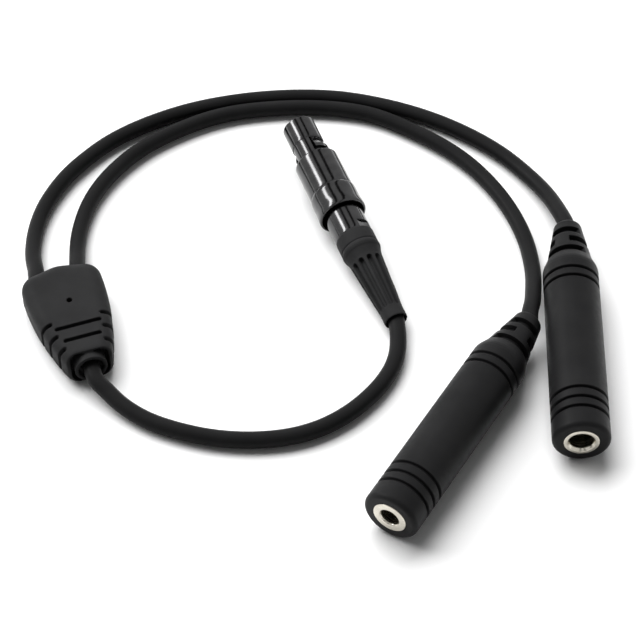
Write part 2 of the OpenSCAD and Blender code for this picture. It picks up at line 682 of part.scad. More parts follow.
// Clamped ring of the latch, with two side arcs that guide the nose
module plug_latch_base() color(nickel) at_plug() rotate([0, 0, latch_roll]) difference() {
    cut_span = finger_span + 16;
    ring_front = finger_root + latch_gap;
    rotate_extrude() polygon([
        [latch_in_r, finger_front], [latch_r, finger_front], [latch_r, ring_front],
        [latch_base_r, ring_front], [latch_base_r, latch_base_end], [latch_in_r, latch_base_end]]);
    for (side = [0, 180]) rotate([0, 0, side])
        ring_sector(latch_in_r - 1, latch_r + 1, finger_front - 1, ring_front, cut_span);
}

// One sprung finger: a strip of tube with a ramped tooth near its free end
module latch_finger() rotate([0, 0, -finger_span / 2]) rotate_extrude(angle = finger_span) polygon([
    [latch_in_r, finger_front], [latch_r, finger_front], [latch_r, tooth_at],
    [latch_r + tooth_h, tooth_flat_at], [latch_r + tooth_h, tooth_end],
    [latch_r, tooth_end], [latch_r, finger_root], [latch_in_r, finger_root]]);

module plug_latch_finger_upper() color(nickel) at_plug() rotate([0, 0, latch_roll]) latch_finger();
module plug_latch_finger_lower() color(nickel) at_plug() rotate([0, 0, latch_roll + 180]) latch_finger();

function contact_at(i) = let (a = 360 * (i + 0.5) / contact_count)
    [contact_ring_r * cos(a), contact_ring_r * sin(a)];

// Insulator: a round block with flats that leave room for the fingers, bored for the pins
module plug_contact_holder() color([0.12, 0.12, 0.13]) at_plug() rotate([0, 0, latch_roll]) difference() {
    union() {
        translate([0, 0, holder_front]) cylinder(h = latch_base_end - holder_front, r = holder_r);
        translate([0, 0, finger_root + latch_gap])
            cylinder(h = latch_base_end - finger_root - latch_gap, r = holder_rear_r);
    }
    for (side = [0, 180]) rotate([0, 0, side])
        translate([holder_flat, -5, holder_front - 1]) cube([5, 10, holder_flat_end - holder_front + 1]);
    for (i = [0 : contact_count - 1])
        translate([contact_at(i)[0], contact_at(i)[1], holder_front - 1])
            cylinder(h = latch_base_end, d = contact_d + 2 * nest, $fn = 24);
}

// Round-ended pins, each with a solder cup behind the insulator
module plug_contact_pins() color(brass) at_plug() rotate([0, 0, latch_roll])
    for (i = [0 : contact_count - 1]) translate([contact_at(i)[0], contact_at(i)[1], 0]) difference() {
        union() {
            translate([0, 0, contact_tip + contact_d / 2])
                cylinder(h = contact_end - contact_tip - contact_d / 2, d = contact_d, $fn = 24);
            translate([0, 0, contact_tip + contact_d / 2]) sphere(d = contact_d, $fn = 24);
            translate([0, 0, contact_cup_at])
                cylinder(h = contact_end - contact_cup_at, d = contact_cup_d, $fn = 24);
        }
        translate([0, 0, contact_end - 1.8]) cylinder(h = 3, d = contact_d - 0.1, $fn = 24);
    }

// Metal tube that is clamped between the latch's ring and the collet
module plug_insert_tube() color(nickel) at_plug() difference() {
    translate([0, 0, latch_base_end]) union() {
        cylinder(h = 1.5, r = latch_base_r - 0.1);
        cylinder(h = insert_tube_end - latch_base_end, r = insert_tube_r);
    }
    translate([0, 0, latch_base_end - 1]) cylinder(h = insert_tube_end, r = insert_tube_r - 0.6);
}

// Split cone that grips the cord
module plug_collet() color(nickel) at_plug() difference() {
    slit_w = 0.5;
    translate([0, 0, collet_at]) union() {
        cylinder(h = 2, r = collet_r);
        translate([0, 0, 2]) cylinder(h = collet_end - collet_at - 2, r1 = collet_r, r2 = collet_r - 0.7);
    }
    translate([0, 0, collet_at - 1]) cylinder(h = 10, r = cord_bore_r);
    for (a = [0, 90]) rotate([0, 0, a])
        translate([-slit_w / 2, -8, collet_at + 1.5]) cube([slit_w, 16, 8]);
}

// Nut that squeezes the collet, with two wrench flats beside the bend relief
module plug_collet_nut() color(black_chrome) at_plug() difference() {
    rotate_extrude() polygon([
        [nut_bore_r, nut_front], [nut_r - 0.2, nut_front], [nut_r, nut_front + 0.2],
        [nut_r, nut_end - 0.25], [nut_r - 0.25, nut_end], [boot_spigot_r + nest, nut_end],
        [boot_spigot_r + nest, boot_spigot_at], [collet_r - 0.7 + nest, collet_end],
        [collet_r + nest, collet_at + 2], [collet_r + nest, collet_at],
        [nut_bore_r, collet_at]]);
    for (side = [0, 180]) rotate([0, 0, latch_roll + side])
        translate([nut_flats / 2, -6, nut_end - nut_flat_len]) cube([3, 12, nut_flat_len + 1]);
}

// Radius of the bend relief's cone at a distance from the nose's tip
function boot_r(s) = let (share = (s - boot_cone_from) / (boot_cone_to - boot_cone_from))
    boot_cone_d / 2 + (boot_end_d - boot_cone_d) / 2 * share;

// Rubber bend relief: collar, bead, shoulder and a fluted cone round the cord
module plug_bend_relief() color(rubber) at_plug() difference() {
    neck_r = (boot_shoulder_d + boot_cone_d) / 4;
    end_d = flute_d + 0.06;
    rotate_extrude() polygon([
        [cord_bore_r, boot_spigot_at], [boot_spigot_r, boot_spigot_at], [boot_spigot_r, nut_end],
        [nut_r, nut_end], [nut_r + 0.12, nut_end + 0.4], [nut_r + 0.1, boot_bead_at - 0.3],
        [nut_r - 0.1, boot_bead_at], [nut_r + 0.1, boot_bead_at + 0.35],
        [boot_shoulder_d / 2, boot_shoulder_at - 0.3], [boot_shoulder_d / 2 - 0.15, boot_shoulder_at + 0.4],
        [neck_r, boot_shoulder_at + 1.4], [boot_cone_d / 2 + 0.18, boot_cone_from - 1],
        [boot_cone_d / 2, boot_cone_from], [boot_end_d / 2, boot_cone_to],
        [boot_end_d / 2, boot_end - 0.6], [boot_end_d / 2 - 0.3, boot_end], [cord_bore_r, boot_end]]);
    for (i = [0 : flute_count - 1]) rotate([0, 0, 360 * (i + 0.5) / flute_count]) {
        from = [boot_r(flute_from) + 0.1, 0, flute_from];
        to = [boot_r(flute_to) + 0.1, 0, flute_to];
        rod(from, to, flute_d);
        translate(from) sphere(d = end_d, $fn = 24);
        translate(to) sphere(d = end_d, $fn = 24);
    }
}

module plug_wires() color(copper) at_plug() rotate([0, 0, latch_roll])
    for (i = [0 : contact_count - 1]) {
        spread = contact_at(i);
        rod([spread[0], spread[1], contact_end - 1.6], [spread[0] * 0.8, spread[1] * 0.8, cord_stop],
            0.7);
    }

junction_moulding();
junction_splices();
junction_wires();
trunk_cord();
headphone_cord();
microphone_cord();
plug_outer_shell();
plug_grip_sleeve();
plug_latch_base();
plug_latch_finger_upper();
plug_latch_finger_lower();
plug_contact_holder();
plug_contact_pins();
plug_insert_tube();
plug_collet();
plug_collet_nut();
plug_bend_relief();
plug_wires();
headphone_jack_housing();
headphone_jack_bushing();
headphone_jack_can();
headphone_jack_carrier();
headphone_tip_contact();
headphone_ring_contact();
headphone_solder_tags();
headphone_wires();
microphone_jack_housing();
microphone_jack_bushing();
microphone_jack_can();
microphone_jack_carrier();
microphone_tip_contact();
microphone_ring_contact();
microphone_solder_tags();
microphone_wires();
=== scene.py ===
"""Headset adapter lead: looks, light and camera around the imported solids.

A six-way push-pull plug, a trunk cord, a flat moulded junction, two branch cords and two inline
jacks lie on a table. Sizes inside this file are in millimetres unless a name or a comment says
otherwise, and Placement turns them into metres in the shared frame.
"""

import sys
import json
import logging
import math
from collections.abc import Callable
from dataclasses import dataclass, field
from enum import Enum

import bmesh
import bpy
import numpy as np
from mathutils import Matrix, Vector


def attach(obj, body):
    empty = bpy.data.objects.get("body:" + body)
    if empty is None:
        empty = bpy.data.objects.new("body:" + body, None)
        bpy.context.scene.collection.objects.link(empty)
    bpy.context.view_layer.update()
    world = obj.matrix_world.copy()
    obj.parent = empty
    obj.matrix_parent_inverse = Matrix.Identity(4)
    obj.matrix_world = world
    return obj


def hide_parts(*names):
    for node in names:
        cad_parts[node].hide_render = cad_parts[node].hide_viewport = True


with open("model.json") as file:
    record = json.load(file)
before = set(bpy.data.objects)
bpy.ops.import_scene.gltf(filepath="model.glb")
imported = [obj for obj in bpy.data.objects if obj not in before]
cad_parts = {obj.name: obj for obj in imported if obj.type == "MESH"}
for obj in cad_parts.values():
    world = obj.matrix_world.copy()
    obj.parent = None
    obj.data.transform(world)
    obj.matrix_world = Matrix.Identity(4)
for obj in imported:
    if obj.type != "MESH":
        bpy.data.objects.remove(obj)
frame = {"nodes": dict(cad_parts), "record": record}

Array = np.ndarray
Piece = bpy.types.Object
Socket = bpy.types.NodeSocket
Pair = tuple[float, float]
Triple = tuple[float, float, float]

LOG = logging.getLogger("adapter_lead")
MM = 0.001
CORD_R = 2.35
CORD_BORE_R = 2.4
SHARP = 0.02  # reach of a corner that stays sharp
SIDE_SHARE = 0.45  # most of an outline's side that one rounded corner takes
CLEAR_SHARE = 0.3  # share of the spacing that new points on an outline keep from old ones
WELD_M = 1e-7  # points closer than this, in metres, are one point
PATTERN_UNIT = 10.0  # length of a piece to one unit of its V coordinate
NOISE_MIDDLE = (0.3, 0.7)  # where most of a noise's values lie
UNIT_RANGE = (0.0, 1.0)


# Places


def spin(angle: float) -> Array:
    """The matrix of a turn about z by an angle in degrees."""
    c, s = math.cos(math.radians(angle)), math.sin(math.radians(angle))
    return np.array([[c, -s, 0], [s, c, 0], [0, 0, 1.0]])


@dataclass(frozen=True)
class Placement:
    """Where a piece's own axes lie in the shared frame.

    Attributes:
        origin: the piece's own origin, in millimetres.
        axes: three columns, the shared-frame directions of the piece's x, y and z.
    """

    origin: Array
    axes: Array

    def place(self, local: Array) -> Array:
        """Turns the piece's own points, in millimetres, into shared points in metres."""
        return (local @ self.axes.T + self.origin) * MM

    def turned(self, angle: float) -> "Placement":
        """The same place with the piece turned about its own z by an angle in degrees."""
        return Placement(self.origin, self.axes @ spin(angle))

    def on_axis(self, s: float) -> Array:
        """The point of the piece's own z axis at s, in millimetres."""
        return self.origin + s * self.axes[:, 2]


def lying_place(
    x: float, y: float, height: float, heading: float, tilt: float = 0.0, seat: float = 0.0
) -> Placement:
    """A round piece on its side, with its own -x up and its front end raised by the tilt.

    Args:
        x: place along X of the point of the axis above the seat.
        y: the same along Y.
        height: height of that point above the table.
        heading: direction of the piece's own z, from +X, in degrees.
        tilt: how far the piece's own z points down, in degrees.
        seat: distance along the piece's own z at which the seat lies.

    Returns:
        The placement.
    """
    s, c = math.sin(math.radians(tilt)), math.cos(math.radians(tilt))
    axes = spin(heading) @ np.array([[-s, 0, c], [0, 1.0, 0], [-c, 0, -s]])
    return Placement(np.array([x, y, height]) - seat * axes[:, 2], axes)


# Outlines


def smooth_step(low: float, high: float, value: Array) -> Array:
    """0 below low, 1 above high, and the cubic 3t^2 - 2t^3 between them."""
    t = np.clip((value - low) / (high - low), 0, 1)
    return t * t * (3 - 2 * t)


def unit(v: Array) -> Array:
    """The same vectors at length 1."""
    return v / np.linalg.norm(v, axis=-1, keepdims=True)


def even_turns(count: int) -> Array:
    """count angles round a full turn, in radians."""
    return np.arange(count) * 2 * np.pi / count


def way_along(line: Array) -> Array:
    """The distance along a line of points to each of them."""
    return np.concatenate([[0], np.cumsum(np.linalg.norm(np.diff(line, axis=0), axis=1))])


def read_at(line: Array, at: Array) -> Array:
    """The points of a flat line at given distances along it."""
    arc = way_along(line)
    return np.stack([np.interp(at, arc, line[:, k]) for k in (0, 1)], 1)


def either_side(reach: float, count: int) -> Array:
    """count even steps from -reach to reach."""
    return np.linspace(-reach, reach, count)


def merged_rows(parts: list[Array], gap: float) -> Array:
    """All the parts' values in order, less those within a gap of the one before."""
    s = np.unique(np.round(np.concatenate(parts), 3))
    return s[np.concatenate([[True], np.diff(s) > gap])]


def rounded_loop(corners: list[tuple], steps: int = 5) -> Array:
    """A closed outline with rounded corners.

    Each corner is replaced by the quadratic curve (1-t)^2 a + 2t(1-t) p + t^2 b, where p is the
    corner and a and b lie at its reach before and after it.

    Args:
        corners: (across, along, reach) of each corner, without a reach where it stays sharp.
        steps: points on each rounded corner.

    Returns:
        Points of shape (corners * steps, 2).
    """
    table = np.array([(*corner, SHARP)[:3] for corner in corners], float)
    p, reach = table[:, :2], np.maximum(table[:, 2:], SHARP)
    ways = [np.roll(p, shift, 0) - p for shift in (1, -1)]
    lengths = [np.linalg.norm(way, axis=1, keepdims=True) for way in ways]
    reach = np.minimum(reach, SIDE_SHARE * np.minimum(*lengths))
    a, b = (p + way / length * reach for way, length in zip(ways, lengths))
    t = np.linspace(0, 1, steps)[None, :, None]
    curve = (1 - t) ** 2 * a[:, None] + 2 * t * (1 - t) * p[:, None] + t**2 * b[:, None]
    return curve.reshape(-1, 2)


def closed_outline(corners: list[tuple], spacing: float) -> Array:
    """A closed outline with rounded corners and with extra points on its long stretches.

    Args:
        corners: as in rounded_loop.
        spacing: distance between the extra points.

    Returns:
        Points by arc length: those of the rounded corners and evenly spaced new ones.
    """
    loop = rounded_loop(corners)
    closed = np.vstack([loop, loop[:1]])
    arc = way_along(closed)
    new = np.arange(0, arc[-1], spacing)
    clear_of_old = np.abs(new[:, None] - arc[None]).min(1) > CLEAR_SHARE * spacing
    return read_at(closed, np.sort(np.concatenate([arc[:-1], new[clear_of_old]])))


def stadium(length: float, width: float, steps: int = 10) -> Array:
    """A bar with round ends along x: two half circles of half the width, moved apart.

    Args:
        length: its whole length.
        width: its width.
        steps: points on each half circle.

    Returns:
        Points of shape (2 * steps, 2), counter-clockwise.
    """
    half_turn = np.linspace(-np.pi / 2, np.pi / 2, steps)
    a = np.concatenate([half_turn, half_turn + np.pi])
    shift = np.repeat([1.0, -1.0], steps) * (length - width) / 2
    return np.stack([shift + width / 2 * np.cos(a), width / 2 * np.sin(a)], 1)


def rounded_rectangle(width: float, height: float, radius: float, steps: int = 6) -> Array:
    """A rectangle about the origin whose corners are quarter circles.

    Args:
        width: its size along x.
        height: its size along y.
        radius: radius of its corners.
        steps: points on each corner.

    Returns:
        Points of shape (4 * steps, 2), counter-clockwise.
    """
    a = np.concatenate([np.linspace(0, np.pi / 2, steps) + k * np.pi / 2 for k in range(4)])
    sx = np.repeat([1, -1, -1, 1], steps) * (width / 2 - radius)
    sy = np.repeat([1, 1, -1, -1], steps) * (height / 2 - radius)
    return np.stack([sx + radius * np.cos(a), sy + radius * np.sin(a)], 1)


def disc_hull(discs: Array, count: int, directions: int = 6000) -> Array:
    """The hull of some discs: its point that faces angle a belongs to the disc with the greatest support.

    Args:
        discs: (x, y, radius) of each disc.
        count: points round the hull, spread evenly by arc length, counter-clockwise.
        directions: angles that are tried.

    Returns:
        Points of shape (count, 2).
    """
    a = np.linspace(0, 2 * np.pi, directions, endpoint=False)
    facing = np.stack([np.cos(a), np.sin(a)], 1)
    best = np.argmax(facing @ discs[:, :2].T + discs[:, 2], axis=1)
    edge = discs[best, :2] + discs[best, 2:] * facing
    closed = np.vstack([edge, edge[:1]])
    return read_at(closed, np.linspace(0, way_along(closed)[-1], count, endpoint=False))


# Surfaces


def grid_object(name: str, points: Array, wrap_rows: bool, along: Array) -> Piece:
    """An object whose faces join neighbouring points of a grid, whose columns close on themselves.

    Args:
        name: name of the piece.
        points: (rows, columns, 3) in metres.
        wrap_rows: whether the last row joins the first. If it doesn't, both ends are closed by a
            point at the middle of the row.
        along: the V coordinate of each row, for patterns that follow the piece.

    Returns:
        The new object, linked to the scene.
    """
    if not wrap_rows:
        ends = [np.broadcast_to(row.mean(0), row.shape)[None] for row in (points[0], points[-1])]
        points = np.concatenate([ends[0], points, ends[1]])
        along = np.concatenate([along[:1], along, along[-1:]])
    rows, columns = points.shape[:2]
    i = np.arange(rows if wrap_rows else rows - 1)[:, None]
    j = np.arange(columns)[None]
    after_i, after_j = (i + 1) % rows, (j + 1) % columns

    def at_corners(values: list[Array]) -> Array:
        """Each face's four values, on a last axis."""
        return np.stack([np.broadcast_to(value, (len(i), columns)) for value in values], -1)

    spots = [(i, j), (i, after_j), (after_i, after_j), (after_i, j)]
    faces = at_corners([row * columns + column for row, column in spots]).reshape(-1, 4)
    u = at_corners([column / columns for column in (j, j + 1, j + 1, j)])
    v = at_corners([along[row] for row in (i, i, after_i, after_i)])

    mesh = bpy.data.meshes.new(name)
    mesh.vertices.add(rows * columns)
    mesh.vertices.foreach_set("co", points.reshape(-1).astype(np.float32))
    mesh.loops.add(faces.size)
    mesh.loops.foreach_set("vertex_index", faces.reshape(-1).astype(np.int32))
    mesh.polygons.add(len(faces))
    mesh.polygons.foreach_set("loop_start", np.arange(len(faces), dtype=np.int32) * 4)
    uv = np.stack([u, v], -1).reshape(-1).astype(np.float32)
    mesh.uv_layers.new(name="along").data.foreach_set("uv", uv)
    mesh.update(calc_edges=True)
    mesh.validate()
    return shown(name, mesh, weld=not wrap_rows)


def shown(name: str, mesh: bpy.types.Mesh, weld: bool = False) -> Piece:
    """Links a mesh to the scene as an object with smooth faces.

    Args:
        name: name of the piece.
        mesh: its mesh.
        weld: whether points at the same place are merged.

    Returns:
        The object.
    """
    if weld:
        work = bmesh.new()
        work.from_mesh(mesh)
        bmesh.ops.remove_doubles(work, verts=work.verts, dist=WELD_M)
        work.to_mesh(mesh)
        work.free()
    mesh.shade_smooth()
    made = bpy.data.objects.new(name, mesh)
    bpy.context.scene.collection.objects.link(made)
    return made


def turned_object(
    name: str, place: Placement, outline: Array, turns: Array, radius: Array | None = None
) -> Piece:
    """A turned surface: the point at row i and column j is (r_ij cos a_j, r_ij sin a_j, s_i).

    Args:
        name: name of the piece.
        place: where it lies.
        outline: (r, s) points of its closed outline.
        turns: angles in radians.
        radius: r at each row and column, where it isn't the outline's own.

    Returns:
        The object.
    """
    r = outline[:, :1] if radius is None else radius
    grid = np.stack([r * np.cos(turns), r * np.sin(turns), outline[:, 1:] + 0 * turns], -1)
    return grid_object(name, place.place(grid), True, outline[:, 1] / PATTERN_UNIT)


def prism(outline: Array, low: float, high: float, place: Placement) -> Piece:
    """A straight-sided solid over a flat closed outline, used as a cutter.

    Args:
        outline: (x, y) points, counter-clockwise.
        low: its own z of the lower face.
        high: its own z of the upper face.
        place: where it lies.

    Returns:
        The cutter.
    """
    n = len(outline)
    levels = np.repeat([low, high], n)[:, None]
    points = place.place(np.hstack([np.vstack([outline, outline]), levels]))
    k = np.arange(n)
    sides = np.stack([k, (k + 1) % n, (k + 1) % n + n, k + n], 1).tolist()
    mesh = bpy.data.meshes.new("cutter")
    mesh.from_pydata(points.tolist(), [], sides + [k[::-1].tolist(), (k + n).tolist()])
    return shown("cutter", mesh)


class Carving(Enum):
    """What a tool does to a piece."""

    CUT = "DIFFERENCE"
    ADD = "UNION"


def settled(piece: Piece) -> None:
    """Makes what the modifiers show into the piece's own mesh.

    Args:
        piece: the piece.
    """
    graph = bpy.context.evaluated_depsgraph_get()
    mesh = bpy.data.meshes.new_from_object(piece.evaluated_get(graph), depsgraph=graph)
    mesh.name = piece.name
    piece.modifiers.clear()
    piece.data = mesh


def carved(piece: Piece, *tools: Piece, how: Carving = Carving.CUT) -> Piece:
    """Combines each tool with a piece, then removes the tools.

    Args:
        piece: the piece.
        tools: solids to take out of it, or to add to it.
        how: which of the two.

    Returns:
        The piece.
    """
    for tool in tools:
        step = piece.modifiers.new("carve", "BOOLEAN")
        step.operation, step.solver, step.object = how.value, "EXACT", tool
        settled(piece)
        bpy.data.objects.remove(tool)
    return piece


def crisp(piece: Piece, angle: float = 35) -> Piece:
    """Smooth faces with creases at sharp edges.

    Args:
        piece: the piece.
        angle: the least angle between the faces of a sharp edge, in degrees.

    Returns:
        The piece.
    """
    piece.data.shade_smooth()
    piece.data.set_sharp_from_angle(angle=math.radians(angle))
    return piece


# Finishes


@dataclass
class Graph:
    """A tree of shader nodes, added and joined in a few words."""

    tree: bpy.types.NodeTree

    def add(self, kind: str, inputs: dict | None = None, **settings: object) -> bpy.types.Node:
        """Adds a node.

        Args:
            kind: Blender's name for the node type.
            inputs: socket name or number to a value or to another node's socket.
            settings: attributes of the node.

        Returns:
            The node.
        """
        node = self.tree.nodes.new(kind)
        for key, value in settings.items():
            setattr(node, key, value)
        for key, value in (inputs or {}).items():
            self.join(value, node.inputs[key])
        return node

    def join(self, value: object, socket: Socket) -> None:
        """Links another socket to this one, or sets a plain value on it.

        Args:
            value: the other socket, or the plain value.
            socket: this socket.
        """
        if isinstance(value, Socket):
            self.tree.links.new(value, socket)
        else:
            socket.default_value = value

    def spot(self, kind: str = "Object") -> Socket:
        """The coordinates of one kind."""
        return self.add("ShaderNodeTexCoord").outputs[kind]

    def maths(self, operation: str, *values: object) -> Socket:
        """The result of an operation on values or sockets."""
        return self.add("ShaderNodeMath", dict(enumerate(values)), operation=operation).outputs[0]

    def ranged(self, value: Socket, source: tuple, target: tuple) -> Socket:
        """Maps one range onto another, whose ends may be sockets too, and holds it there."""
        return self.add("ShaderNodeMapRange", dict(enumerate((value, *source, *target)))).outputs[0]

    def noise(self, vector: Socket, scale: float, detail: float = 3.0) -> Socket:
        """Fractal noise at a scale, in repeats per unit of its coordinates."""
        return self.add("ShaderNodeTexNoise", {"Vector": vector, "Scale": scale, "Detail": detail}).outputs[0]

    def spread(self, value: Socket, target: Pair = UNIT_RANGE) -> Socket:
        """Maps the middle of a noise's range onto another range."""
        return self.ranged(value, NOISE_MIDDLE, target)

    def bump(self, height: Socket, depth: float, strength: float) -> Socket:
        """The normal over a height between 0 and 1 that stands for a depth in metres."""
        inputs = {"Height": height, "Distance": depth, "Strength": strength}
        return self.add("ShaderNodeBump", inputs).outputs[0]

    def between(self, share: Socket, low: Triple, high: Triple) -> Socket:
        """A colour between two, by a share from 0 to 1."""
        node = self.add("ShaderNodeMix", {0: share, 6: (*low, 1), 7: (*high, 1)}, data_type="RGBA")
        return node.outputs[2]


def material_of(name: str, inputs: Callable[[Graph], dict]) -> bpy.types.Material:
    """Makes a material with one shader.

    Args:
        name: its name.
        inputs: works out what goes into each of the shader's sockets.

    Returns:
        The material.
    """
    material = bpy.data.materials.new(name)
    material.use_nodes = True
    graph = Graph(material.node_tree)
    for key, value in inputs(graph).items():
        graph.join(value, graph.tree.nodes["Principled BSDF"].inputs[key])
    return material


@dataclass(frozen=True)
class Finish:
    """What every finish has: its tone and its gloss wander between two values each.

    Attributes:
        name: name of the material.
        colour: the darker tone.
        lighter: the lighter tone.
        roughness: lowest and highest roughness.
    """

    name: str
    colour: Triple
    lighter: Triple
    roughness: Pair

    def wandering(self, g: Graph, tone: Socket, gloss: Socket, others: dict) -> dict:
        """The shader's inputs, with a noise for the tone and one for the gloss."""
        colour = g.between(g.spread(tone), self.colour, self.lighter)
        return {"Base Color": colour, "Roughness": g.spread(gloss, self.roughness), **others}


@dataclass(frozen=True)
class SoftVinyl(Finish):
    """Moulded or extruded soft black vinyl: a fine grain, cloudy gloss and a faint change of tone.

    Attributes:
        grain: repeats of the grain per metre.
        depth: height of the grain, in metres.
        gleam: strength of its mirror reflection, where 0.5 is clear varnish.
        clouds: repeats of the change of tone per metre.
        sheen: repeats of the change of gloss per metre.
    """

    grain: float = 4200.0
    depth: float = 0.00003
    gleam: float = 0.07
    clouds: float = 90.0
    sheen: float = 700.0

    def inputs(self, g: Graph) -> dict:
        """The shader's inputs, with a bump for the grain.

        Args:
            g: the material's nodes.

        Returns:
            Socket names to values or to other nodes' sockets.
        """
        spot = g.spot()
        bump = g.bump(g.noise(spot, self.grain, detail=2.0), self.depth, strength=0.5)
        others = {"Normal": bump, "Specular IOR Level": self.gleam}
        tone, gloss = g.noise(spot, self.clouds, detail=2.0), g.noise(spot, self.sheen)
        return self.wandering(g, tone, gloss, others)


@dataclass(frozen=True)
class TurnedMetal(Finish):
    """Plated metal off a lathe: fine rings follow the piece's own length, under a bright plate.

    Attributes:
        depth: height of the turning marks, in metres.
        marks: repeats of the marks round the piece and in 10 mm of its length.
        clouds: repeats of the change of tone per metre.
    """

    depth: float = 0.000004
    marks: Pair = (2.0, 90.0)
    clouds: float = 400.0

    def inputs(self, g: Graph) -> dict:
        """The shader's inputs, with the turning marks from a noise stretched round the piece.

        Args:
            g: the material's nodes.

        Returns:
            Socket names to values or to other nodes' sockets.
        """
        stretched = g.add("ShaderNodeMapping", {"Vector": g.spot("UV"), "Scale": (*self.marks, 1.0)})
        marks = g.noise(stretched.outputs[0], 1.0)
        others = {"Metallic": 1.0, "Normal": g.bump(marks, self.depth, strength=1.0)}
        return self.wandering(g, g.noise(g.spot(), self.clouds), marks, others)


@dataclass(frozen=True)
class PlainMetal(Finish):
    """Stamped or plated metal seen little: a cloudy gloss on Object coordinates.

    Attributes:
        clouds: repeats of the change of tone and gloss per metre.
    """

    clouds: float = 1500.0

    def inputs(self, g: Graph) -> dict:
        """The shader's inputs."""
        cloud = g.noise(g.spot(), self.clouds)
        return self.wandering(g, cloud, cloud, {"Metallic": 1.0})


class Look(Enum):
    """The finishes, each under the record's slot that it stands for."""

    CORD = ("cord_jacket", SoftVinyl(
        "cord_vinyl", (0.010, 0.010, 0.0103), (0.013, 0.013, 0.0133), (0.42, 0.5),
        grain=5200.0, depth=0.00002))
    MOULDING = ("moulding", SoftVinyl(
        "moulding_vinyl", (0.018, 0.018, 0.0185), (0.023, 0.023, 0.0235), (0.52, 0.62)))
    HOUSING = ("housing", SoftVinyl(
        "housing_vinyl", (0.010, 0.010, 0.0104), (0.0135, 0.0135, 0.0139), (0.40, 0.50), gleam=0.1))
    BLACK_CHROME = ("black_chrome", TurnedMetal(
        "dark_chrome_plate", (0.064, 0.064, 0.065), (0.086, 0.086, 0.087), (0.12, 0.18),
        depth=0.0000012))
    NICKEL = ("nickel", TurnedMetal(
        "nickel_plate", (0.55, 0.52, 0.45), (0.66, 0.63, 0.55), (0.16, 0.3)))
    PLATED = ("plated_metal", PlainMetal(
        "dull_plate", (0.40, 0.39, 0.37), (0.55, 0.54, 0.50), (0.22, 0.38)))
    CONTACT = ("contact_metal", PlainMetal(
        "contact_gold", (0.70, 0.50, 0.20), (0.85, 0.66, 0.32), (0.18, 0.3)))
    INSULATOR = ("insulator", SoftVinyl(
        "insulator_resin", (0.020, 0.020, 0.022), (0.035, 0.035, 0.037), (0.3, 0.4), grain=2500.0))
    WIRE = ("wire_insulation", SoftVinyl(
        "wire_skin", (0.35, 0.05, 0.03), (0.45, 0.08, 0.05), (0.3, 0.4), grain=2500.0))

    def dress(self, piece: Piece) -> None:
        """Makes this the piece's only finish. Its material is made on first use.

        Args:
            piece: the piece.
        """
        finish = self.value[1]
        piece.data.materials.clear()
        made = bpy.data.materials.get(finish.name) or material_of(finish.name, finish.inputs)
        piece.data.materials.append(made)


@dataclass
class Dresser:
    """Puts pieces on their bodies and finishes on pieces and solids."""

    bodies: dict[str, list[str]] = field(default_factory=lambda: frame["record"]["behaviour"]["bodies"])
    slots: dict[str, str] = field(
        default_factory=lambda: {s["node"]: s["material_slot"] for s in frame["record"]["subparts"]}
    )

    def body_of(self, node: str) -> str:
        """The body that carries a node."""
        return next(body for body, members in self.bodies.items() if node in members)

    def stands_for(self, piece: Piece, node: str, look: Look) -> None:
        """Finishes a new piece and shows it in place of a node.

        Args:
            piece: the new piece, already in its place.
            node: the solid that it stands for.
            look: its finish.
        """
        look.dress(piece)
        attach(piece, self.body_of(node))
        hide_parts(node)
        LOG.info("piece %s stands for %s: %d faces", piece.name, node, len(piece.data.polygons))

    def rest(self) -> None:
        """Gives every solid that still shows the finish of its own slot."""
        looks = {look.value[0]: look for look in Look}
        for name, solid in frame["nodes"].items():
            if solid.hide_render:
                continue
            looks[self.slots[name]].dress(solid)
            LOG.info("solid %s keeps its shape, in %s", name, self.slots[name])


# Junction


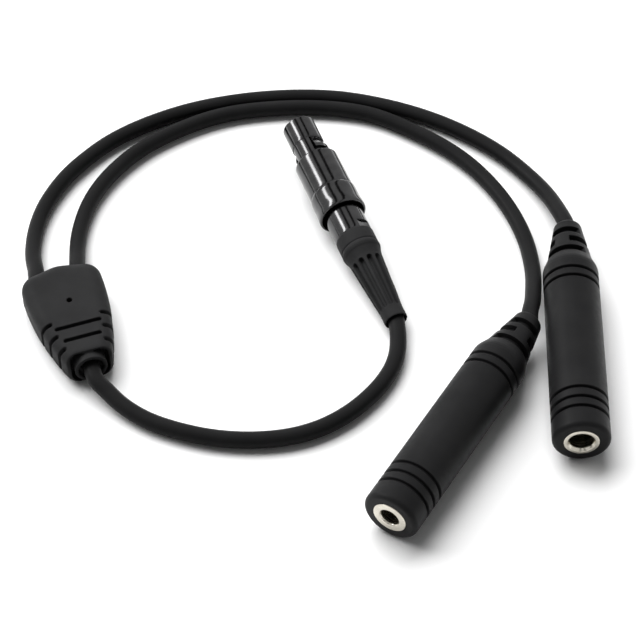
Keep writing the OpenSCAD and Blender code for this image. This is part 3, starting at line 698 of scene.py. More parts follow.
@dataclass
class Junction:
    """The flat moulding that splits the trunk cord in two.

    Its own u runs across it and its own v along it, from the trunk end in front to the branches.
    Names ending in _in count inwards from an end or a side, and past is how far a cutter
    reaches beyond the surface.
    """

    dresser: Dresser
    length: float = 37.5
    front_share: float = 0.56
    back_share: float = 0.44
    width: float = 23.0
    tail_width: float = 14.0
    tail_in: float = 4.0
    wide_in: float = 7.5
    side_r: float = 4.0
    side_discs: int = 12
    corner_r: float = 4.8
    corner_in: float = 6.3
    end_r: float = 9.0
    height: float = 11.0
    top_edge: float = 3.8
    base_edge: float = 3.2
    edge_rows: int = 10
    face_shares: tuple[float, ...] = (0.75, 0.5, 0.25, 0.08)
    face_middle: float = -1.5
    lean: float = 2.7
    turn: float = 19.5
    branch_pitch: float = 12.0
    grip: float = 9.0
    slot_width: float = 1.2
    slot_depth: float = 1.2
    slot_pitch: float = 4.7
    first_slot: float = 5.5
    top_slot_past: float = 1.0
    side_slot_in: float = 2.3
    side_slot_step: float = 0.5
    side_slot_foot: float = 0.9
    side_slot_depth: float = 1.45
    side_slot_length: float = 12.0
    pocket: float = 4.1
    pocket_wall: float = 1.6
    pocket_foot: float = 1.2
    pocket_foot_r: float = 3.0
    pocket_roof: float = 0.75
    pocket_roof_r: float = 2.0
    collar: float = 9.2
    collar_wall: float = 1.0
    collar_length: float = 3.7
    counterbore: float = 1.6
    pin_width: float = 1.6
    pin_v: float = 1.0
    pin_depth: float = 2.4
    past: float = 3.0
    bore_past: float = 5.0
    overlap: float = 0.5
    voxel: float = 0.2
    smoothing: float = 0.5
    smooth_passes: int = 2

    @property
    def front(self) -> float:
        """Where the foot of the trunk end lies along the moulding."""
        return -self.front_share * self.length

    @property
    def back(self) -> float:
        """Where the middle of the branch end lies along the moulding."""
        return self.back_share * self.length

    @property
    def place(self) -> Placement:
        """Where the moulding lies."""
        return Placement(np.zeros(3), spin(self.turn))

    def inside(self, u: float, v: float) -> Array:
        """A point at the moulding's mid height, in millimetres."""
        return self.place.axes @ [u, v, self.height / 2]

    def half_width(self, v: Array) -> Array:
        """Half the plan width: it falls with the square of the way from the widest place.

        Args:
            v: places along the moulding.

        Returns:
            The half width at each.
        """
        wide, tail = self.back - self.wide_in, self.front + self.tail_in
        share = np.maximum(0, (wide - v) / (wide - tail))
        return self.width / 2 - (self.width - self.tail_width) / 2 * share**2

    def outline(self, inset: Array, count: int = 440) -> Array:
        """The plan outline at each of several insets: the hull of discs along both sides.

        Args:
            inset: distances inside the full outline.
            count: points round the outline.

        Returns:
            Points of shape (insets, count, 2).
        """
        v = np.linspace(self.front + self.tail_in, self.back - self.wide_in, self.side_discs)
        side = np.stack([self.half_width(v) - self.side_r, v, np.full_like(v, self.side_r)], 1)
        corner = [self.width / 2 - self.corner_r, self.back - self.corner_in, self.corner_r]
        right = np.vstack([side, corner])
        discs = np.vstack([right, right * [-1, 1, 1], [0, self.back - self.end_r, self.end_r]])
        spread = disc_hull(discs, count)
        ahead = unit(np.roll(spread, -1, 0) - np.roll(spread, 1, 0))
        outward = np.stack([ahead[:, 1], -ahead[:, 0]], 1)
        return spread[None] - inset[:, None, None] * outward[None]

    def body(self, shrink: float = 0.0) -> Piece:
        """The moulding without its slots: the plan outline carried up a rounded edge.

        Row k is the outline inset by shrink + r(1 - cos b) at a height that follows r sin b,
        for the base edge's radius and then the top edge's. Both faces close on their middle.
        The trunk end leans back: no point lies ahead of front + lean times its share of the
        height.

        Args:
            shrink: how far inside the real surface it lies.

        Returns:
            The object.
        """
        b = np.linspace(0, np.pi / 2, self.edge_rows)
        low, top = self.base_edge, self.top_edge
        inset = np.concatenate([low - low * np.sin(b), top - top * np.cos(b)])
        height = np.concatenate([low - low * np.cos(b), self.height - top + top * np.sin(b)])
        rows = self.outline(inset + shrink)
        height = height + np.where(height > low, -shrink, shrink)
        z = np.broadcast_to(height[:, None, None], (*rows.shape[:2], 1))
        points = np.concatenate([rows, z], 2)
        share = np.array(self.face_shares)[:, None, None]
        over = np.array([0, self.face_middle, self.height - shrink])
        under = np.array([0, self.face_middle, shrink])
        cap = over + share * (points[-1][None] - over)
        foot = (under + share * (points[0][None] - under))[::-1]
        points = np.concatenate([foot, points, cap])
        lean = self.lean * points[..., 2] / self.height
        points[..., 1] = np.maximum(points[..., 1], self.front + shrink + lean)
        return grid_object("junction", self.place.place(points), False, np.arange(len(points), dtype=float))

    def bar(self, u: float, v: float, length: float, low: float) -> Piece:
        """A round-ended cutter across the moulding, centred at u and v, from low to past the top."""
        shape = stadium(length, self.slot_width) + [u, v]
        return prism(shape, low, self.height + self.past, self.place)

    def slots(self) -> list[Piece]:
        """Two slots across the top and three down each side.

        A side slot goes to one depth all the way down: its cutter is a bar less the whole body
        shrunk by that depth.

        Returns:
            The cutters.
        """
        first = self.front + self.first_slot
        made = []
        for i in range(2):
            v = first + (i + 0.5) * self.slot_pitch
            half = self.half_width(v) - self.top_edge + self.top_slot_past
            made.append(self.bar(0, v, 2 * half, self.height - self.slot_depth))
        for i in range(3):
            v = first + i * self.slot_pitch
            tip = self.half_width(v) - self.side_slot_in - self.side_slot_step * i
            middle = tip + self.side_slot_length / 2
            for side in (-1, 1):
                shell = self.bar(side * middle, v, self.side_slot_length, self.side_slot_foot)
                made.append(carved(shell, self.body(self.side_slot_depth)))
        return made

    def facing(self, u: float, v: float) -> Placement:
        """Own z along the moulding and own y up, from the table at u and v."""
        axes = self.place.axes
        return Placement(axes @ [u, v, 0], axes @ [[-1, 0, 0], [0, 0, 1], [0, 1, 0]])

    def ring(self, width: float, middle: float, count: int = 64) -> Array:
        """A circle of a width, whose middle lies at a place on the second axis."""
        turns = even_turns(count)
        return width / 2 * np.stack([np.cos(turns), np.sin(turns)], 1) + [0, middle]

    def mouth(self, count: int = 90) -> Array:
        """Outline of the trunk end's pocket, seen from the front: the hull of four discs.

        Args:
            count: points round it.

        Returns:
            Points of shape (count, 2).
        """
        half = self.tail_width / 2 - self.pocket_wall
        foot = (self.pocket_foot + self.pocket_foot_r, self.pocket_foot_r)
        roof = (self.height - self.pocket_roof - self.pocket_roof_r, self.pocket_roof_r)
        discs = [[x * (half - r), z, r] for x in (-1, 1) for z, r in (foot, roof)]
        return disc_hull(np.array(discs), count)

    def build(self) -> None:
        """Carves the moulding, then rounds every edge a little by rebuilding it in small cells."""
        mid, before, bore = self.height / 2, -3 * self.past, self.ring(2 * CORD_BORE_R, self.height / 2)
        pocket_floor = self.facing(0, self.front + self.pocket)
        collar, hollow = self.ring(self.collar, mid), self.ring(self.collar - 2 * self.collar_wall, mid)
        piece = carved(self.body(), *self.slots(), prism(self.mouth(), before, 0, pocket_floor))
        carved(piece, prism(collar, -self.collar_length, self.overlap, pocket_floor), how=Carving.ADD)
        carved(piece, prism(hollow, before, self.counterbore - self.collar_length, pocket_floor))
        carved(piece, prism(bore, -2 * self.overlap, self.grip, self.facing(0, self.front)))
        for side in (-1, 1):
            place = self.facing(side * self.branch_pitch / 2, self.back - self.grip)
            carved(piece, prism(bore, 0, self.grip + self.bore_past, place))
        pin = self.ring(self.pin_width, self.pin_v)
        carved(piece, prism(pin, self.height - self.pin_depth, self.height + self.past, self.place))
        cells = piece.modifiers.new("cells", "REMESH")
        cells.mode, cells.voxel_size = "VOXEL", self.voxel * MM
        settled(piece)
        soften = piece.modifiers.new("soften", "SMOOTH")
        soften.factor, soften.iterations = self.smoothing, self.smooth_passes
        settled(piece)
        piece.data.shade_smooth()
        piece.name = "junction_shell"
        self.dresser.stands_for(piece, "junction_moulding", Look.MOULDING)


# Cords


@dataclass
class Cord:
    """A round cord along a smooth curve through its route's points."""

    dresser: Dresser
    node: str
    route: Array
    radius: float = CORD_R
    sides: int = 32
    spacing: float = 0.8

    def centreline(self) -> Array:
        """The smooth curve: a natural cubic spline through the route by chord length.

        Its second derivatives solve the usual tridiagonal system, and it is then read at
        even spacing. It never dips below the table.

        Returns:
            Points in millimetres.
        """
        p = self.route
        knots = way_along(p)
        h = np.diff(knots)
        k = np.arange(1, len(p) - 1)
        system = np.eye(len(p))
        system[k, k - 1], system[k, k], system[k, k + 1] = h[:-1], 2 * (h[:-1] + h[1:]), h[1:]
        right = np.zeros((len(p), 3))
        slope = np.diff(p, axis=0) / h[:, None]
        right[1:-1] = 6 * (slope[1:] - slope[:-1])
        bend = np.linalg.solve(system, right)
        at = np.linspace(0, knots[-1], int(knots[-1] / self.spacing) + 1)
        i = np.clip(np.searchsorted(knots, at, side="right") - 1, 0, len(p) - 2)
        step = h[i]
        line = np.zeros((len(at), 3))
        for end, x in ((i, knots[i + 1] - at), (i + 1, at - knots[i])):
            line += bend[end] * (x**3 / (6 * step) - x * step / 6)[:, None] + p[end] * (x / step)[:, None]
        line[:, 2] = np.maximum(line[:, 2], self.radius)
        return line

    def build(self, exit_at: Array) -> None:
        """The point at column j is centre + r (cos a_j side + sin a_j over), where side is level
        and square to the curve, and over completes the pair.

        Args:
            exit_at: where the cord leaves the junction, in millimetres. It is not used.
        """
        line = self.centreline()
        ahead = unit(np.gradient(line, axis=0))
        side = unit(np.cross(ahead, [0, 0, 1.0]))
        over = np.cross(side, ahead)
        a = even_turns(self.sides)[None, :, None]
        points = (line[:, None] + self.radius * (np.cos(a) * side[:, None] + np.sin(a) * over[:, None])) * MM
        arc = way_along(line)
        piece = grid_object(self.node.replace("_cord", "_lead"), points, False, arc / PATTERN_UNIT)
        self.dresser.stands_for(piece, self.node, Look.CORD)
        LOG.info("cord %s is %.1f mm long", self.node, arc[-1])


# Jacks


@dataclass
class Jack:
    """An inline jack: moulded housing with grooves and a slotted relief, and its bushing.

    Distances along it count from the housing's front face. Angles are in degrees. Names ending
    in _rows or _columns say where points lie: the first, the last and the pitch, or how far they
    go to either side of a feature and how many they are.
    """

    dresser: Dresser
    name: str
    place: Placement
    roll: float
    bore: float
    mouth: float
    length: float = 78.5
    radius: float = 7.9
    front_edge: float = 1.3
    tip_edge: float = 1.6
    shoulder_s: tuple[float, ...] = (59.6, 60.4, 61.2, 62.0, 62.8, 63.6, 64.4, 65.4, 76.9)
    shoulder_r: tuple[float, ...] = (7.9, 7.81, 7.60, 7.28, 6.96, 6.65, 6.42, 6.22, 4.1)
    grooves: tuple[float, ...] = (6.4, 9.6, 12.9, 53.1, 56.3)
    groove_width: float = 1.0
    groove_depth: float = 0.8
    groove_wall: float = 0.14
    slot_s: tuple[float, ...] = (64.95, 69.2, 73.45)
    slot_width: float = 2.2
    slot_depth: float = 1.5
    slot_wall: float = 0.16
    slot_span: float = 130.0
    slot_end: float = 2.2
    column_pitch: float = 2.5
    ring_r: float = 4.8
    ring_depth: float = 1.0
    ring_proud: float = 0.15
    neck_r: float = 4.35
    can_r: float = 6.35
    can_end: float = 47.0
    can_taper: Pair = (1.0, 0.8)
    cord_stop: float = 65.5
    core_r: float = 2.0
    cord_chamfer: Pair = (0.25, 0.4)
    ring_chamfer: Pair = (0.12, 0.3)
    bushing: float = 14.0
    flange: float = 2.0
    bushing_turns: int = 96
    edge_steps: int = 9
    plain_rows: Triple = (2.0, 78.5, 0.8)
    shoulder_rows: Triple = (59.4, 68.0, 0.3)
    groove_rows: tuple[float, int] = (0.75, 21)
    wall_rows: tuple[float, int] = (0.2, 7)
    rows_clear: Pair = (0.3, 0.05)
    slot_columns: tuple[float, int] = (2.5, 7)
    columns_clear: float = 3.2

    def outer(self) -> Array:
        """Outline of the housing from the front face back to the tip.

        The front edge is a quarter circle, the barrel is straight, the shoulder and the relief
        follow a smooth fall of radius, and the tip is another quarter circle. Rows are close
        together at the grooves and at the walls of the slots.

        Returns:
            Its (r, s) points.
        """
        quarter = np.linspace(0, np.pi / 2, self.edge_steps)
        e, t = self.front_edge, self.tip_edge
        front = np.stack([self.radius - e + e * np.sin(quarter), e - e * np.cos(quarter)], 1)
        tip_r = self.shoulder_r[-1]
        tip = np.stack([tip_r - t + t * np.cos(quarter), self.length - t + t * np.sin(quarter)], 1)
        wide = [np.arange(*rows) for rows in (self.plain_rows, self.shoulder_rows)]
        by_groove, by_wall = either_side(*self.groove_rows), either_side(*self.wall_rows)
        walls = [at + side * self.slot_width / 2 for at in self.slot_s for side in (-1, 1)]
        close = [at + by_groove for at in self.grooves] + [at + by_wall for at in walls]
        s = merged_rows([*wide, *close], gap=0.03)
        s = s[(s > e + self.rows_clear[0]) & (s < self.length - t - self.rows_clear[1])]
        r = np.interp(s, self.shoulder_s, self.shoulder_r)
        low, high = self.groove_width / 2 - self.groove_wall, self.groove_width / 2 + self.groove_wall
        for at in self.grooves:
            r -= self.groove_depth * (1 - smooth_step(low, high, np.abs(s - at)))
        return np.vstack([front, np.stack([r, s], 1), tip])

    def turns(self) -> Array:
        """Angles round the housing, close together where the slots end.

        Returns:
            The angles in radians, in rising order.
        """
        half = self.slot_span / 2
        ends = np.array([quarter + side * half for quarter in range(0, 360, 90) for side in (-1, 1)])
        near = (ends[:, None] + either_side(*self.slot_columns)[None]).ravel() % 360
        far = np.arange(0, 360, self.column_pitch)
        far = far[np.abs((far[:, None] - ends[None] + 180) % 360 - 180).min(1) > self.columns_clear]
        return np.radians(np.sort(np.concatenate([near, far])))

    def housing(self) -> None:
        """The housing: its outline revolved, less the part-round slots, closed through its hollow.

        A slot lowers the radius by its depth times a step across its width and a step across
        its span, and each row of slots is a quarter turn from the last.
        """
        outer, can_from = self.outer(), self.bushing - self.flange
        hollow = np.array([
            [CORD_BORE_R + self.cord_chamfer[0], self.length],
            [CORD_BORE_R, self.length - self.cord_chamfer[1]],
            [CORD_BORE_R, self.cord_stop], [self.core_r, self.cord_stop],
            [self.can_r - self.can_taper[0], self.can_end + self.can_taper[1]],
            [self.can_r, self.can_end], [self.can_r, can_from], [self.neck_r, can_from],
            [self.neck_r, self.ring_depth], [self.ring_r, self.ring_depth],
            [self.ring_r, self.ring_chamfer[1]], [self.ring_r + self.ring_chamfer[0], 0.0]])
        outline = np.vstack([outer, hollow])
        angle = self.turns()
        cut = np.zeros((len(outline), len(angle)))
        half, span = self.slot_width / 2, self.slot_span / 2
        for i, at in enumerate(self.slot_s):
            off = np.abs(outline[:, 1:] - at)
            across = 1 - smooth_step(half - self.slot_wall, half + self.slot_wall, off)
            off = np.abs((np.degrees(angle) - 90 * (i % 2) + 90) % 180 - 90)
            within = 1 - smooth_step(span - self.slot_end, span + self.slot_end, off)
            cut = np.maximum(cut, across * within[None])
        cut[len(outer):] = 0
        piece = turned_object(
            self.name + "_housing", self.place.turned(self.roll), outline, angle,
            outline[:, :1] - self.slot_depth * cut)
        self.dresser.stands_for(crisp(piece, angle=50), self.name + "_jack_housing", Look.HOUSING)

    def bushing_piece(self) -> None:
        """The bright bushing, turned from its closed outline with small broken edges."""
        lead = (self.mouth - self.bore) / 2 - 0.05
        flange_from = self.bushing - self.flange
        outline = closed_outline([
            (self.mouth / 2, -self.ring_proud, 0.08), (self.ring_r, -self.ring_proud, 0.25),
            (self.ring_r, self.ring_depth), (self.neck_r, self.ring_depth),
            (self.neck_r, flange_from), (self.can_r, flange_from),
            (self.can_r, self.bushing), (self.bore / 2, self.bushing),
            (self.bore / 2, lead, 0.12)], spacing=1.2)
        piece = turned_object(self.name + "_bushing", self.place, outline, even_turns(self.bushing_turns))
        self.dresser.stands_for(crisp(piece), self.name + "_jack_bushing", Look.NICKEL)

    def build(self) -> None:
        """Makes both pieces."""
        self.housing()
        self.bushing_piece()


# Plug


@dataclass
class Plug:
    """The push-pull plug: sliding shell in two parts, collet nut and fluted bend relief.

    Distances along it count from the nose's tip. It rests on its flared rim and on the end of
    its relief. The flutes' widths and depths are the share or size at the front and its fall to
    the rear, their wall lies between two shares of half their width, and nothing is cut within
    the uncut radius or ahead of the uncut place.
    """

    dresser: Dresser
    seat_x: float = 76.1
    seat_y: float = 37.4
    rim_s: float = 35.6
    heading: float = -68.5
    latch_roll: float = 140.0
    nose_r: float = 4.75
    pilot_r: float = 4.95
    nose_len: float = 14.6
    nose_bore_r: float = 4.4
    shell_bore_r: float = 5.75
    thread_r: float = 6.07
    thread_gap: float = 0.02
    thread_from: float = 24.5
    seam: float = 27.5
    rim_r: float = 7.15
    grip_end: float = 36.1
    window: Triple = (6.4, 5.0, 0.35)
    window_s: float = 10.7
    window_reach: Pair = (2.0, 8.0)
    nut_r: float = 5.6
    nut_end: float = 44.9
    flat_r: float = 5.0
    flat_from: float = 42.31
    flat_step: float = 0.03
    flat_clear: float = 0.1
    cone_s: tuple[float, ...] = (51.6, 52, 53, 54, 72.5, 75.8)
    cone_r: tuple[float, ...] = (5.42, 5.3, 5.07, 4.9, 3.4, 3.4)
    boot_end: float = 76.3
    boot_r: float = 3.4
    boot_bore_r: float = 4.45
    flutes: int = 11
    flute_columns: int = 30
    flute_width: float = 1.5
    flute_widths: Pair = (1.12, 0.3)
    flute_depths: Pair = (1.25, 0.6)
    flute_from: float = 55.7
    flute_to: float = 71.9
    flute_wall: Pair = (0.7, 1.05)
    uncut: Pair = (3.0, 53.0)
    cone_rows: tuple[Triple, ...] = ((51.7, 75.0, 0.35), (54.7, 56.9, 0.1), (70.9, 73.0, 0.1))
    spacing: float = 0.8
    turns: int = 144
    nut_turns: int = 180

    @property
    def place(self) -> Placement:
        """Where the plug lies, tilted so that its rim and the relief's end both touch the table.

        Returns:
            The placement.
        """
        tilt = math.atan((self.rim_r - self.boot_r) / (self.boot_end - self.rim_s))
        height = self.rim_r * math.cos(tilt)
        return lying_place(self.seat_x, self.seat_y, height, self.heading, math.degrees(tilt), self.rim_s)

    def turned_piece(self, name: str, corners: list[tuple]) -> Piece:
        """A piece turned from a closed outline of (r, s, reach) corners."""
        outline = closed_outline(corners, self.spacing)
        return turned_object(name, self.place, outline, even_turns(self.turns))

    def outer_shell(self) -> None:
        """Nose and barrel, with two windows for the latch's teeth."""
        piece = self.turned_piece("outer_shell", [
            (4.6, 0, 0.1), (self.pilot_r, 0, 0.35), (self.pilot_r, 7.9, 0.08), (self.nose_r, 7.92, 0.08),
            (self.nose_r, self.nose_len, 0.12), (6.6, self.nose_len, 0.5), (6.65, self.seam, 0.16),
            (self.thread_r, self.seam), (self.thread_r, self.thread_from),
            (self.shell_bore_r, self.thread_from), (self.shell_bore_r, 16.0),
            (self.nose_bore_r, 16.0), (self.nose_bore_r, 0.2, 0.1)])
        for side in (0, 180):
            place = self.place.turned(self.latch_roll + side)
            outwards = Placement(place.origin, place.axes[:, [1, 2, 0]])
            hole = rounded_rectangle(*self.window) + [0, self.window_s]
            carved(piece, prism(hole, *self.window_reach, outwards))
        self.dresser.stands_for(crisp(piece), "plug_outer_shell", Look.BLACK_CHROME)

    def grip_sleeve(self) -> None:
        """The flared rear skirt."""
        thread_r = self.thread_r - self.thread_gap
        piece = self.turned_piece("grip_sleeve", [
            (6.62, self.seam, 0.16), (6.95, 28.4, 0.5), (6.96, 32.7, 0.8), (self.rim_r, 34.8, 0.8),
            (self.rim_r, 35.7, 0.3), (6.95, self.grip_end, 0.12), (6.45, self.grip_end, 0.12),
            (6.2, 33.3, 0.3), (self.shell_bore_r, 31.5, 0.1), (self.shell_bore_r, self.thread_from),
            (thread_r, self.thread_from), (thread_r, self.seam)])
        self.dresser.stands_for(crisp(piece), "plug_grip_sleeve", Look.BLACK_CHROME)

    def nut(self) -> None:
        """The collet nut: a turned tube with two flats at its rear.

        Behind the flats' front edge the radius is the lesser of its own and the flats' distance
        over the cosine of the angle from the middle of the nearer flat. Two rows of points lie
        close to that edge.
        """
        outline = closed_outline([
            (4.9, 29.5, 0.05), (self.nut_r, 29.5, 0.2), (self.nut_r, self.flat_from - self.flat_step),
            (self.nut_r, self.flat_from + self.flat_step), (self.nut_r, self.nut_end, 0.2),
            (4.5, self.nut_end, 0.05), (4.5, 41.0), (4.22, 40.6), (4.22, 34.6),
            (4.9, 34.6)], self.spacing)
        turns = even_turns(self.nut_turns)
        off = (turns - math.radians(self.latch_roll) + np.pi / 2) % np.pi - np.pi / 2
        behind = (outline[:, 1:] > self.flat_from) & (outline[:, :1] > self.flat_r + self.flat_clear)
        radius = np.where(behind, np.minimum(outline[:, :1], self.flat_r / np.cos(off)), outline[:, :1])
        piece = turned_object("collet_nut", self.place, outline, turns, radius)
        self.dresser.stands_for(crisp(piece, angle=30), "plug_collet_nut", Look.BLACK_CHROME)

    def relief(self) -> None:
        """The bend relief: a revolved outline less its flutes.

        A flute lowers the radius by its depth times a step across it. It ends in a half circle
        at each end, and its depth and width fall from front to rear.
        """
        s = merged_rows([np.arange(*rows) for rows in self.cone_rows], gap=0.05)
        cone = np.stack([np.interp(s, self.cone_s, self.cone_r), s], 1)
        # The first and last corners only give their neighbours a direction. They are left out, and
        # so is the last point before them, where the cone starts
        collar = rounded_loop([
            (self.boot_bore_r, 43.0), (self.boot_bore_r, self.nut_end),
            (5.6, self.nut_end, 0.1), (5.72, 45.3, 0.15), (5.7, 49.0, 0.15),
            (5.5, 49.3, 0.12), (5.7, 49.65, 0.15), (5.82, 50.4, 0.4), (5.62, 51.2, 0.3),
            (5.42, 51.6, 0.1), (2.45, 60, 0.1)])[5:-6]
        tip = np.array([
            [3.39, 75.3], [self.boot_r, 75.8], [3.38, 76.1], [3.3, 76.26], [3.18, self.boot_end],
            [3.06, 76.24], [3.0, 76.0], [2.9, 75.0], [2.6, 74.3], [CORD_BORE_R, 74.1],
            [CORD_BORE_R, 60.0], [CORD_BORE_R, 41.2], [self.boot_bore_r, 41.2]])
        outline = np.vstack([collar, cone, tip])
        r, s = outline[:, :1], outline[:, 1:]
        turns = even_turns(self.flutes * self.flute_columns)
        step = 2 * np.pi / self.flutes
        off = np.abs(turns % step - step / 2)[None] * r
        rear = np.clip((s - self.flute_from) / (self.flute_to - self.flute_from), 0, 1)
        half = self.flute_width / 2 * (self.flute_widths[0] - self.flute_widths[1] * rear)
        beyond = np.maximum(0, np.maximum(self.flute_from - s, s - self.flute_to))
        depth = self.flute_depths[0] - self.flute_depths[1] * rear
        cut = depth * (1 - smooth_step(*self.flute_wall, np.hypot(off, beyond) / half))
        outside = (r > self.uncut[0]) & (s > self.uncut[1])
        piece = turned_object("bend_relief", self.place, outline, turns, r - np.where(outside, cut, 0))
        self.dresser.stands_for(crisp(piece, angle=50), "plug_bend_relief", Look.MOULDING)

    def build(self) -> None:
        """Makes the four outer pieces."""
        self.outer_shell()
        self.grip_sleeve()
        self.nut()
        self.relief()


# Routes

# Points between a cord's two ends, as x, y and the height of the cord's underside
HEADPHONE_LAY = [
    [-11.6, 17, 2.5], [-12.8, 22.2, 1.3], [-13.6, 29, 0.3], [-13.3, 37, 0], [-11.7, 45, 0],
    [-9.1, 52, 0], [-5.7, 58.5, 0], [-1, 65, 0], [4.7, 71.3, 0], [11.7, 77, 0], [20, 82, 0],
    [30, 86.5, 0], [40.5, 89.6, 0], [51.5, 91.6, 0], [63.5, 92.4, 0], [75.5, 91.7, 0],
    [86.5, 89.2, 0], [97.4, 85.3, 0], [107.1, 80.4, 0], [116.3, 74.2, 0], [124.7, 66.7, 0],
    [131.4, 58.1, 0.4], [136.3, 49.1, 1.7], [139, 40.4, 3.9], [140.1, 35.9, 5]]
MICROPHONE_LAY = [
    [-0.1, 20.5, 2.4], [-0.5, 25, 1.2], [-0.8, 31, 0.3], [-0.2, 39, 0], [1.6, 47.1, 0],
    [4.5, 54.3, 0], [8.5, 61, 0], [13.5, 67.3, 0], [19.8, 73.1, 0], [26.6, 77.8, 0],
    [33.4, 81.6, 0], [42, 84.9, 0], [52, 86.8, 0], [63.4, 87.6, 0], [74.9, 86.9, 0],
    [84.9, 84.5, 0], [94.4, 79.5, 0], [104.4, 72.5, 0], [112.1, 65.4, 0], [118.4, 57.3, 0],
    [123.3, 48.8, 0], [127, 39.8, 0], [129.3, 31, 0.2], [130.3, 22, 1], [130.3, 14.5, 2.3],
    [129.7, 8, 3.8], [129, 2.9, 4.9], [128.1, -1.2, 5.4]]
TRUNK_LAY = [
    [8.2, -22.8, 2.6], [10.9, -25.6, 1.7], [14.2, -28.8, 0.8], [18.6, -32.3, 0.2],
    [23.9, -35.5, 0], [30.7, -38.3, 0], [38.5, -40.5, 0], [46.7, -41.6, 0], [55, -41.5, 0],
    [63, -40.1, 0], [70.3, -37.2, 0], [77.1, -32.6, 0], [83, -26.7, 0], [87.7, -20, 0],
    [90.6, -12.7, 0.1], [91.3, -6.7, 0.5], [91.2, -2.9, 0.8]]


def joined_route(start: list[Array], lay: list[list[float]], end: list[Array]) -> Array:
    """A cord's whole route, in millimetres, with the middle points lifted to the cord's axis."""
    middle = np.array(lay, float) + np.array([0, 0, CORD_R])
    return np.vstack([start, middle, end])


# Studio


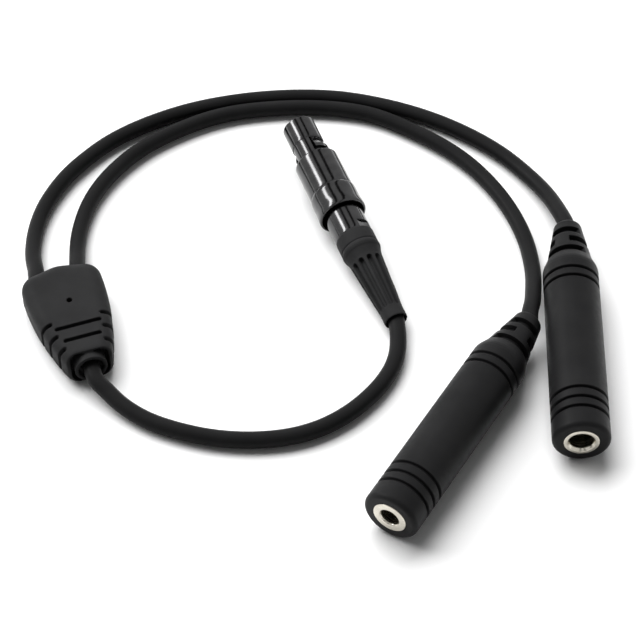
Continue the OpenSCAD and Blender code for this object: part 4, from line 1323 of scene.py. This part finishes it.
@dataclass
class Studio:
    """Camera, lamps, table and surroundings, in metres.

    Brightness of the surroundings is given by direction: how high it points, from -1 to 1, and
    how far it points to +Y or +X.
    """

    camera_at: Triple = (0.0695, -0.39766, 0.46145)
    pitch: float = 48.965
    lens: float = 121.45
    sensor: float = 36.0
    near_clip: float = 0.01
    lit_middle: Triple = (0.06, 0.03, 0.0)
    table_half: float = 4.0
    table_drop: float = 0.0001
    table_white: Triple = (0.92, 0.92, 0.92)
    table_bounce: Triple = (0.45, 0.45, 0.45)
    table_roughness: float = 0.75
    wall_heights: Pair = (0.05, 0.6)
    wall_to_ceiling: Pair = (0.6, 0.16)
    wall_sides: Pair = (-0.6, 0.6)
    near_to_far: Pair = (0.4, 1.6)
    bars: Pair = (-0.39, 0.09)
    bar_half: float = 0.08
    bar_height: float = 0.3
    mirrored_room: Pair = (0.75, 0.02)

    def camera(self) -> None:
        """A long lens that looks along +Y and down."""
        data = bpy.data.cameras.new("camera")
        data.lens, data.sensor_width, data.clip_start = self.lens, self.sensor, self.near_clip
        made = bpy.data.objects.new("camera", data)
        made.location = self.camera_at
        made.rotation_euler = (math.radians(90 - self.pitch), 0, 0)
        bpy.context.scene.collection.objects.link(made)
        bpy.context.scene.camera = made

    def lamp(self, name: str, at: Triple, size: Pair, power: float, mirrored: bool) -> None:
        """A soft rectangular lamp that faces the middle of the lead.

        Args:
            name: its name.
            at: its place, in metres.
            size: its width and height, in metres.
            power: its power, in watts.
            mirrored: whether shiny surfaces reflect the lamp itself.
        """
        data = bpy.data.lights.new(name, "AREA")
        data.shape, data.size, data.size_y, data.energy = "RECTANGLE", *size, power
        made = bpy.data.objects.new(name, data)
        made.location = at
        made.visible_glossy = mirrored
        made.rotation_euler = (Vector(self.lit_middle) - Vector(at)).to_track_quat("-Z", "Y").to_euler()
        bpy.context.scene.collection.objects.link(made)

    def table(self) -> None:
        """A wide pale table just under the lead, greyer to the light that it throws back up."""
        signs = np.array([[-1, -1], [1, -1], [1, 1], [-1, 1]])
        corners = np.hstack([signs * self.table_half, np.full((4, 1), -self.table_drop)])
        mesh = bpy.data.meshes.new("table")
        mesh.from_pydata(corners.tolist(), [], [(0, 1, 2, 3)])
        made = bpy.data.objects.new("table", mesh)
        bpy.context.scene.collection.objects.link(made)
        mesh.materials.append(material_of("table_white", self.table_inputs))

    def table_inputs(self, g: Graph) -> dict:
        """The table's shader inputs: white to the camera, to mirrors and through glass.

        Args:
            g: the material's nodes.

        Returns:
            Socket names to values or to other nodes' sockets.
        """
        path = g.add("ShaderNodeLightPath").outputs
        seen = path["Is Camera Ray"]
        for kind in ("Is Glossy Ray", "Is Transmission Ray"):
            seen = g.maths("MAXIMUM", seen, path[kind])
        colour = g.between(seen, self.table_bounce, self.table_white)
        return {"Base Color": colour, "Roughness": self.table_roughness}

    def surroundings(self) -> None:
        """Pale walls and a dimmer ceiling, and for mirrors an even room with dark bars overhead.

        A direction's brightness falls from the walls to the ceiling with its height, and rises
        from the near side to the far side. A mirror sees one brightness instead, but for the
        bars: upward directions whose x is close to one of two values. The camera sees white.
        """
        world = bpy.data.worlds.new("room")
        world.use_nodes = True
        g = Graph(world.node_tree)
        x, y, z = g.add("ShaderNodeSeparateXYZ", {0: g.spot("Generated")}).outputs
        up = g.ranged(z, self.wall_heights, self.wall_to_ceiling)
        walls = g.maths("MULTIPLY", up, g.ranged(y, self.wall_sides, self.near_to_far))
        either = g.maths("ADD", *[g.maths("COMPARE", x, bar, self.bar_half) for bar in self.bars])
        bar = g.maths("MULTIPLY", either, g.maths("GREATER_THAN", z, self.bar_height))
        mirrored = g.ranged(bar, UNIT_RANGE, self.mirrored_room)
        path = g.add("ShaderNodeLightPath").outputs
        strength = g.ranged(path["Is Glossy Ray"], UNIT_RANGE, (walls, mirrored))
        strength = g.ranged(path["Is Camera Ray"], UNIT_RANGE, (strength, 1.0))
        background = g.tree.nodes["Background"].inputs
        g.join(strength, background["Strength"])
        background["Color"].default_value = (1, 1, 1, 1)
        bpy.context.scene.world = world

    def build(self) -> None:
        """Sets up everything."""
        self.camera()
        self.table()
        self.surroundings()
        self.lamp("key", at=(-1.40, 0.60, 1.20), size=(1.1, 0.34), power=14.1, mirrored=True)
        self.lamp("sky", at=(-0.50, 1.25, 1.80), size=(2.2, 1.8), power=94.0, mirrored=False)
        bpy.context.scene.view_settings.view_transform = "Standard"


def main() -> None:
    """Builds the studio and every piece."""
    logging.basicConfig(level=logging.INFO, format="%(name)s: %(message)s", stream=sys.stdout)
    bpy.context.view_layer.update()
    Studio().build()
    dresser = Dresser()

    junction = Junction(dresser)

    def side_up(x: float, y: float, heading: float) -> Placement:
        """A jack on the table, with its own -y up."""
        return lying_place(x, y, Jack.radius, heading).turned(-90)

    place = side_up(138.9, -46.8, heading=88.5)
    headphone = Jack(dresser, "headphone", place, roll=-118, bore=6.4, mouth=7.6)
    place = side_up(87.4, -71.3, heading=59.0)
    microphone = Jack(dresser, "microphone", place, roll=-66, bore=5.28, mouth=5.9)
    plug = Plug(dresser)

    held_in_jack, held_in_plug, exit_in = 13, 34.9, 0.5
    for jack, side, lay in ((headphone, -1, HEADPHONE_LAY), (microphone, 1, MICROPHONE_LAY)):
        u = side * junction.branch_pitch / 2
        start = [junction.inside(u, junction.back - inwards) for inwards in (junction.grip, exit_in)]
        end = [jack.place.on_axis(s) for s in (jack.length, jack.length - held_in_jack)]
        Cord(dresser, jack.name + "_cord", joined_route(start, lay, end)).build(start[1])
    start = [junction.inside(0, junction.front + inwards) for inwards in (junction.grip, 0)]
    end = [plug.place.on_axis(s) for s in (plug.boot_end, held_in_plug)]
    Cord(dresser, "trunk_cord", joined_route(start, TRUNK_LAY, end)).build(start[1])

    junction.build()
    headphone.build()
    microphone.build()
    plug.build()
    dresser.rest()


if __name__ == "__main__":
    main()
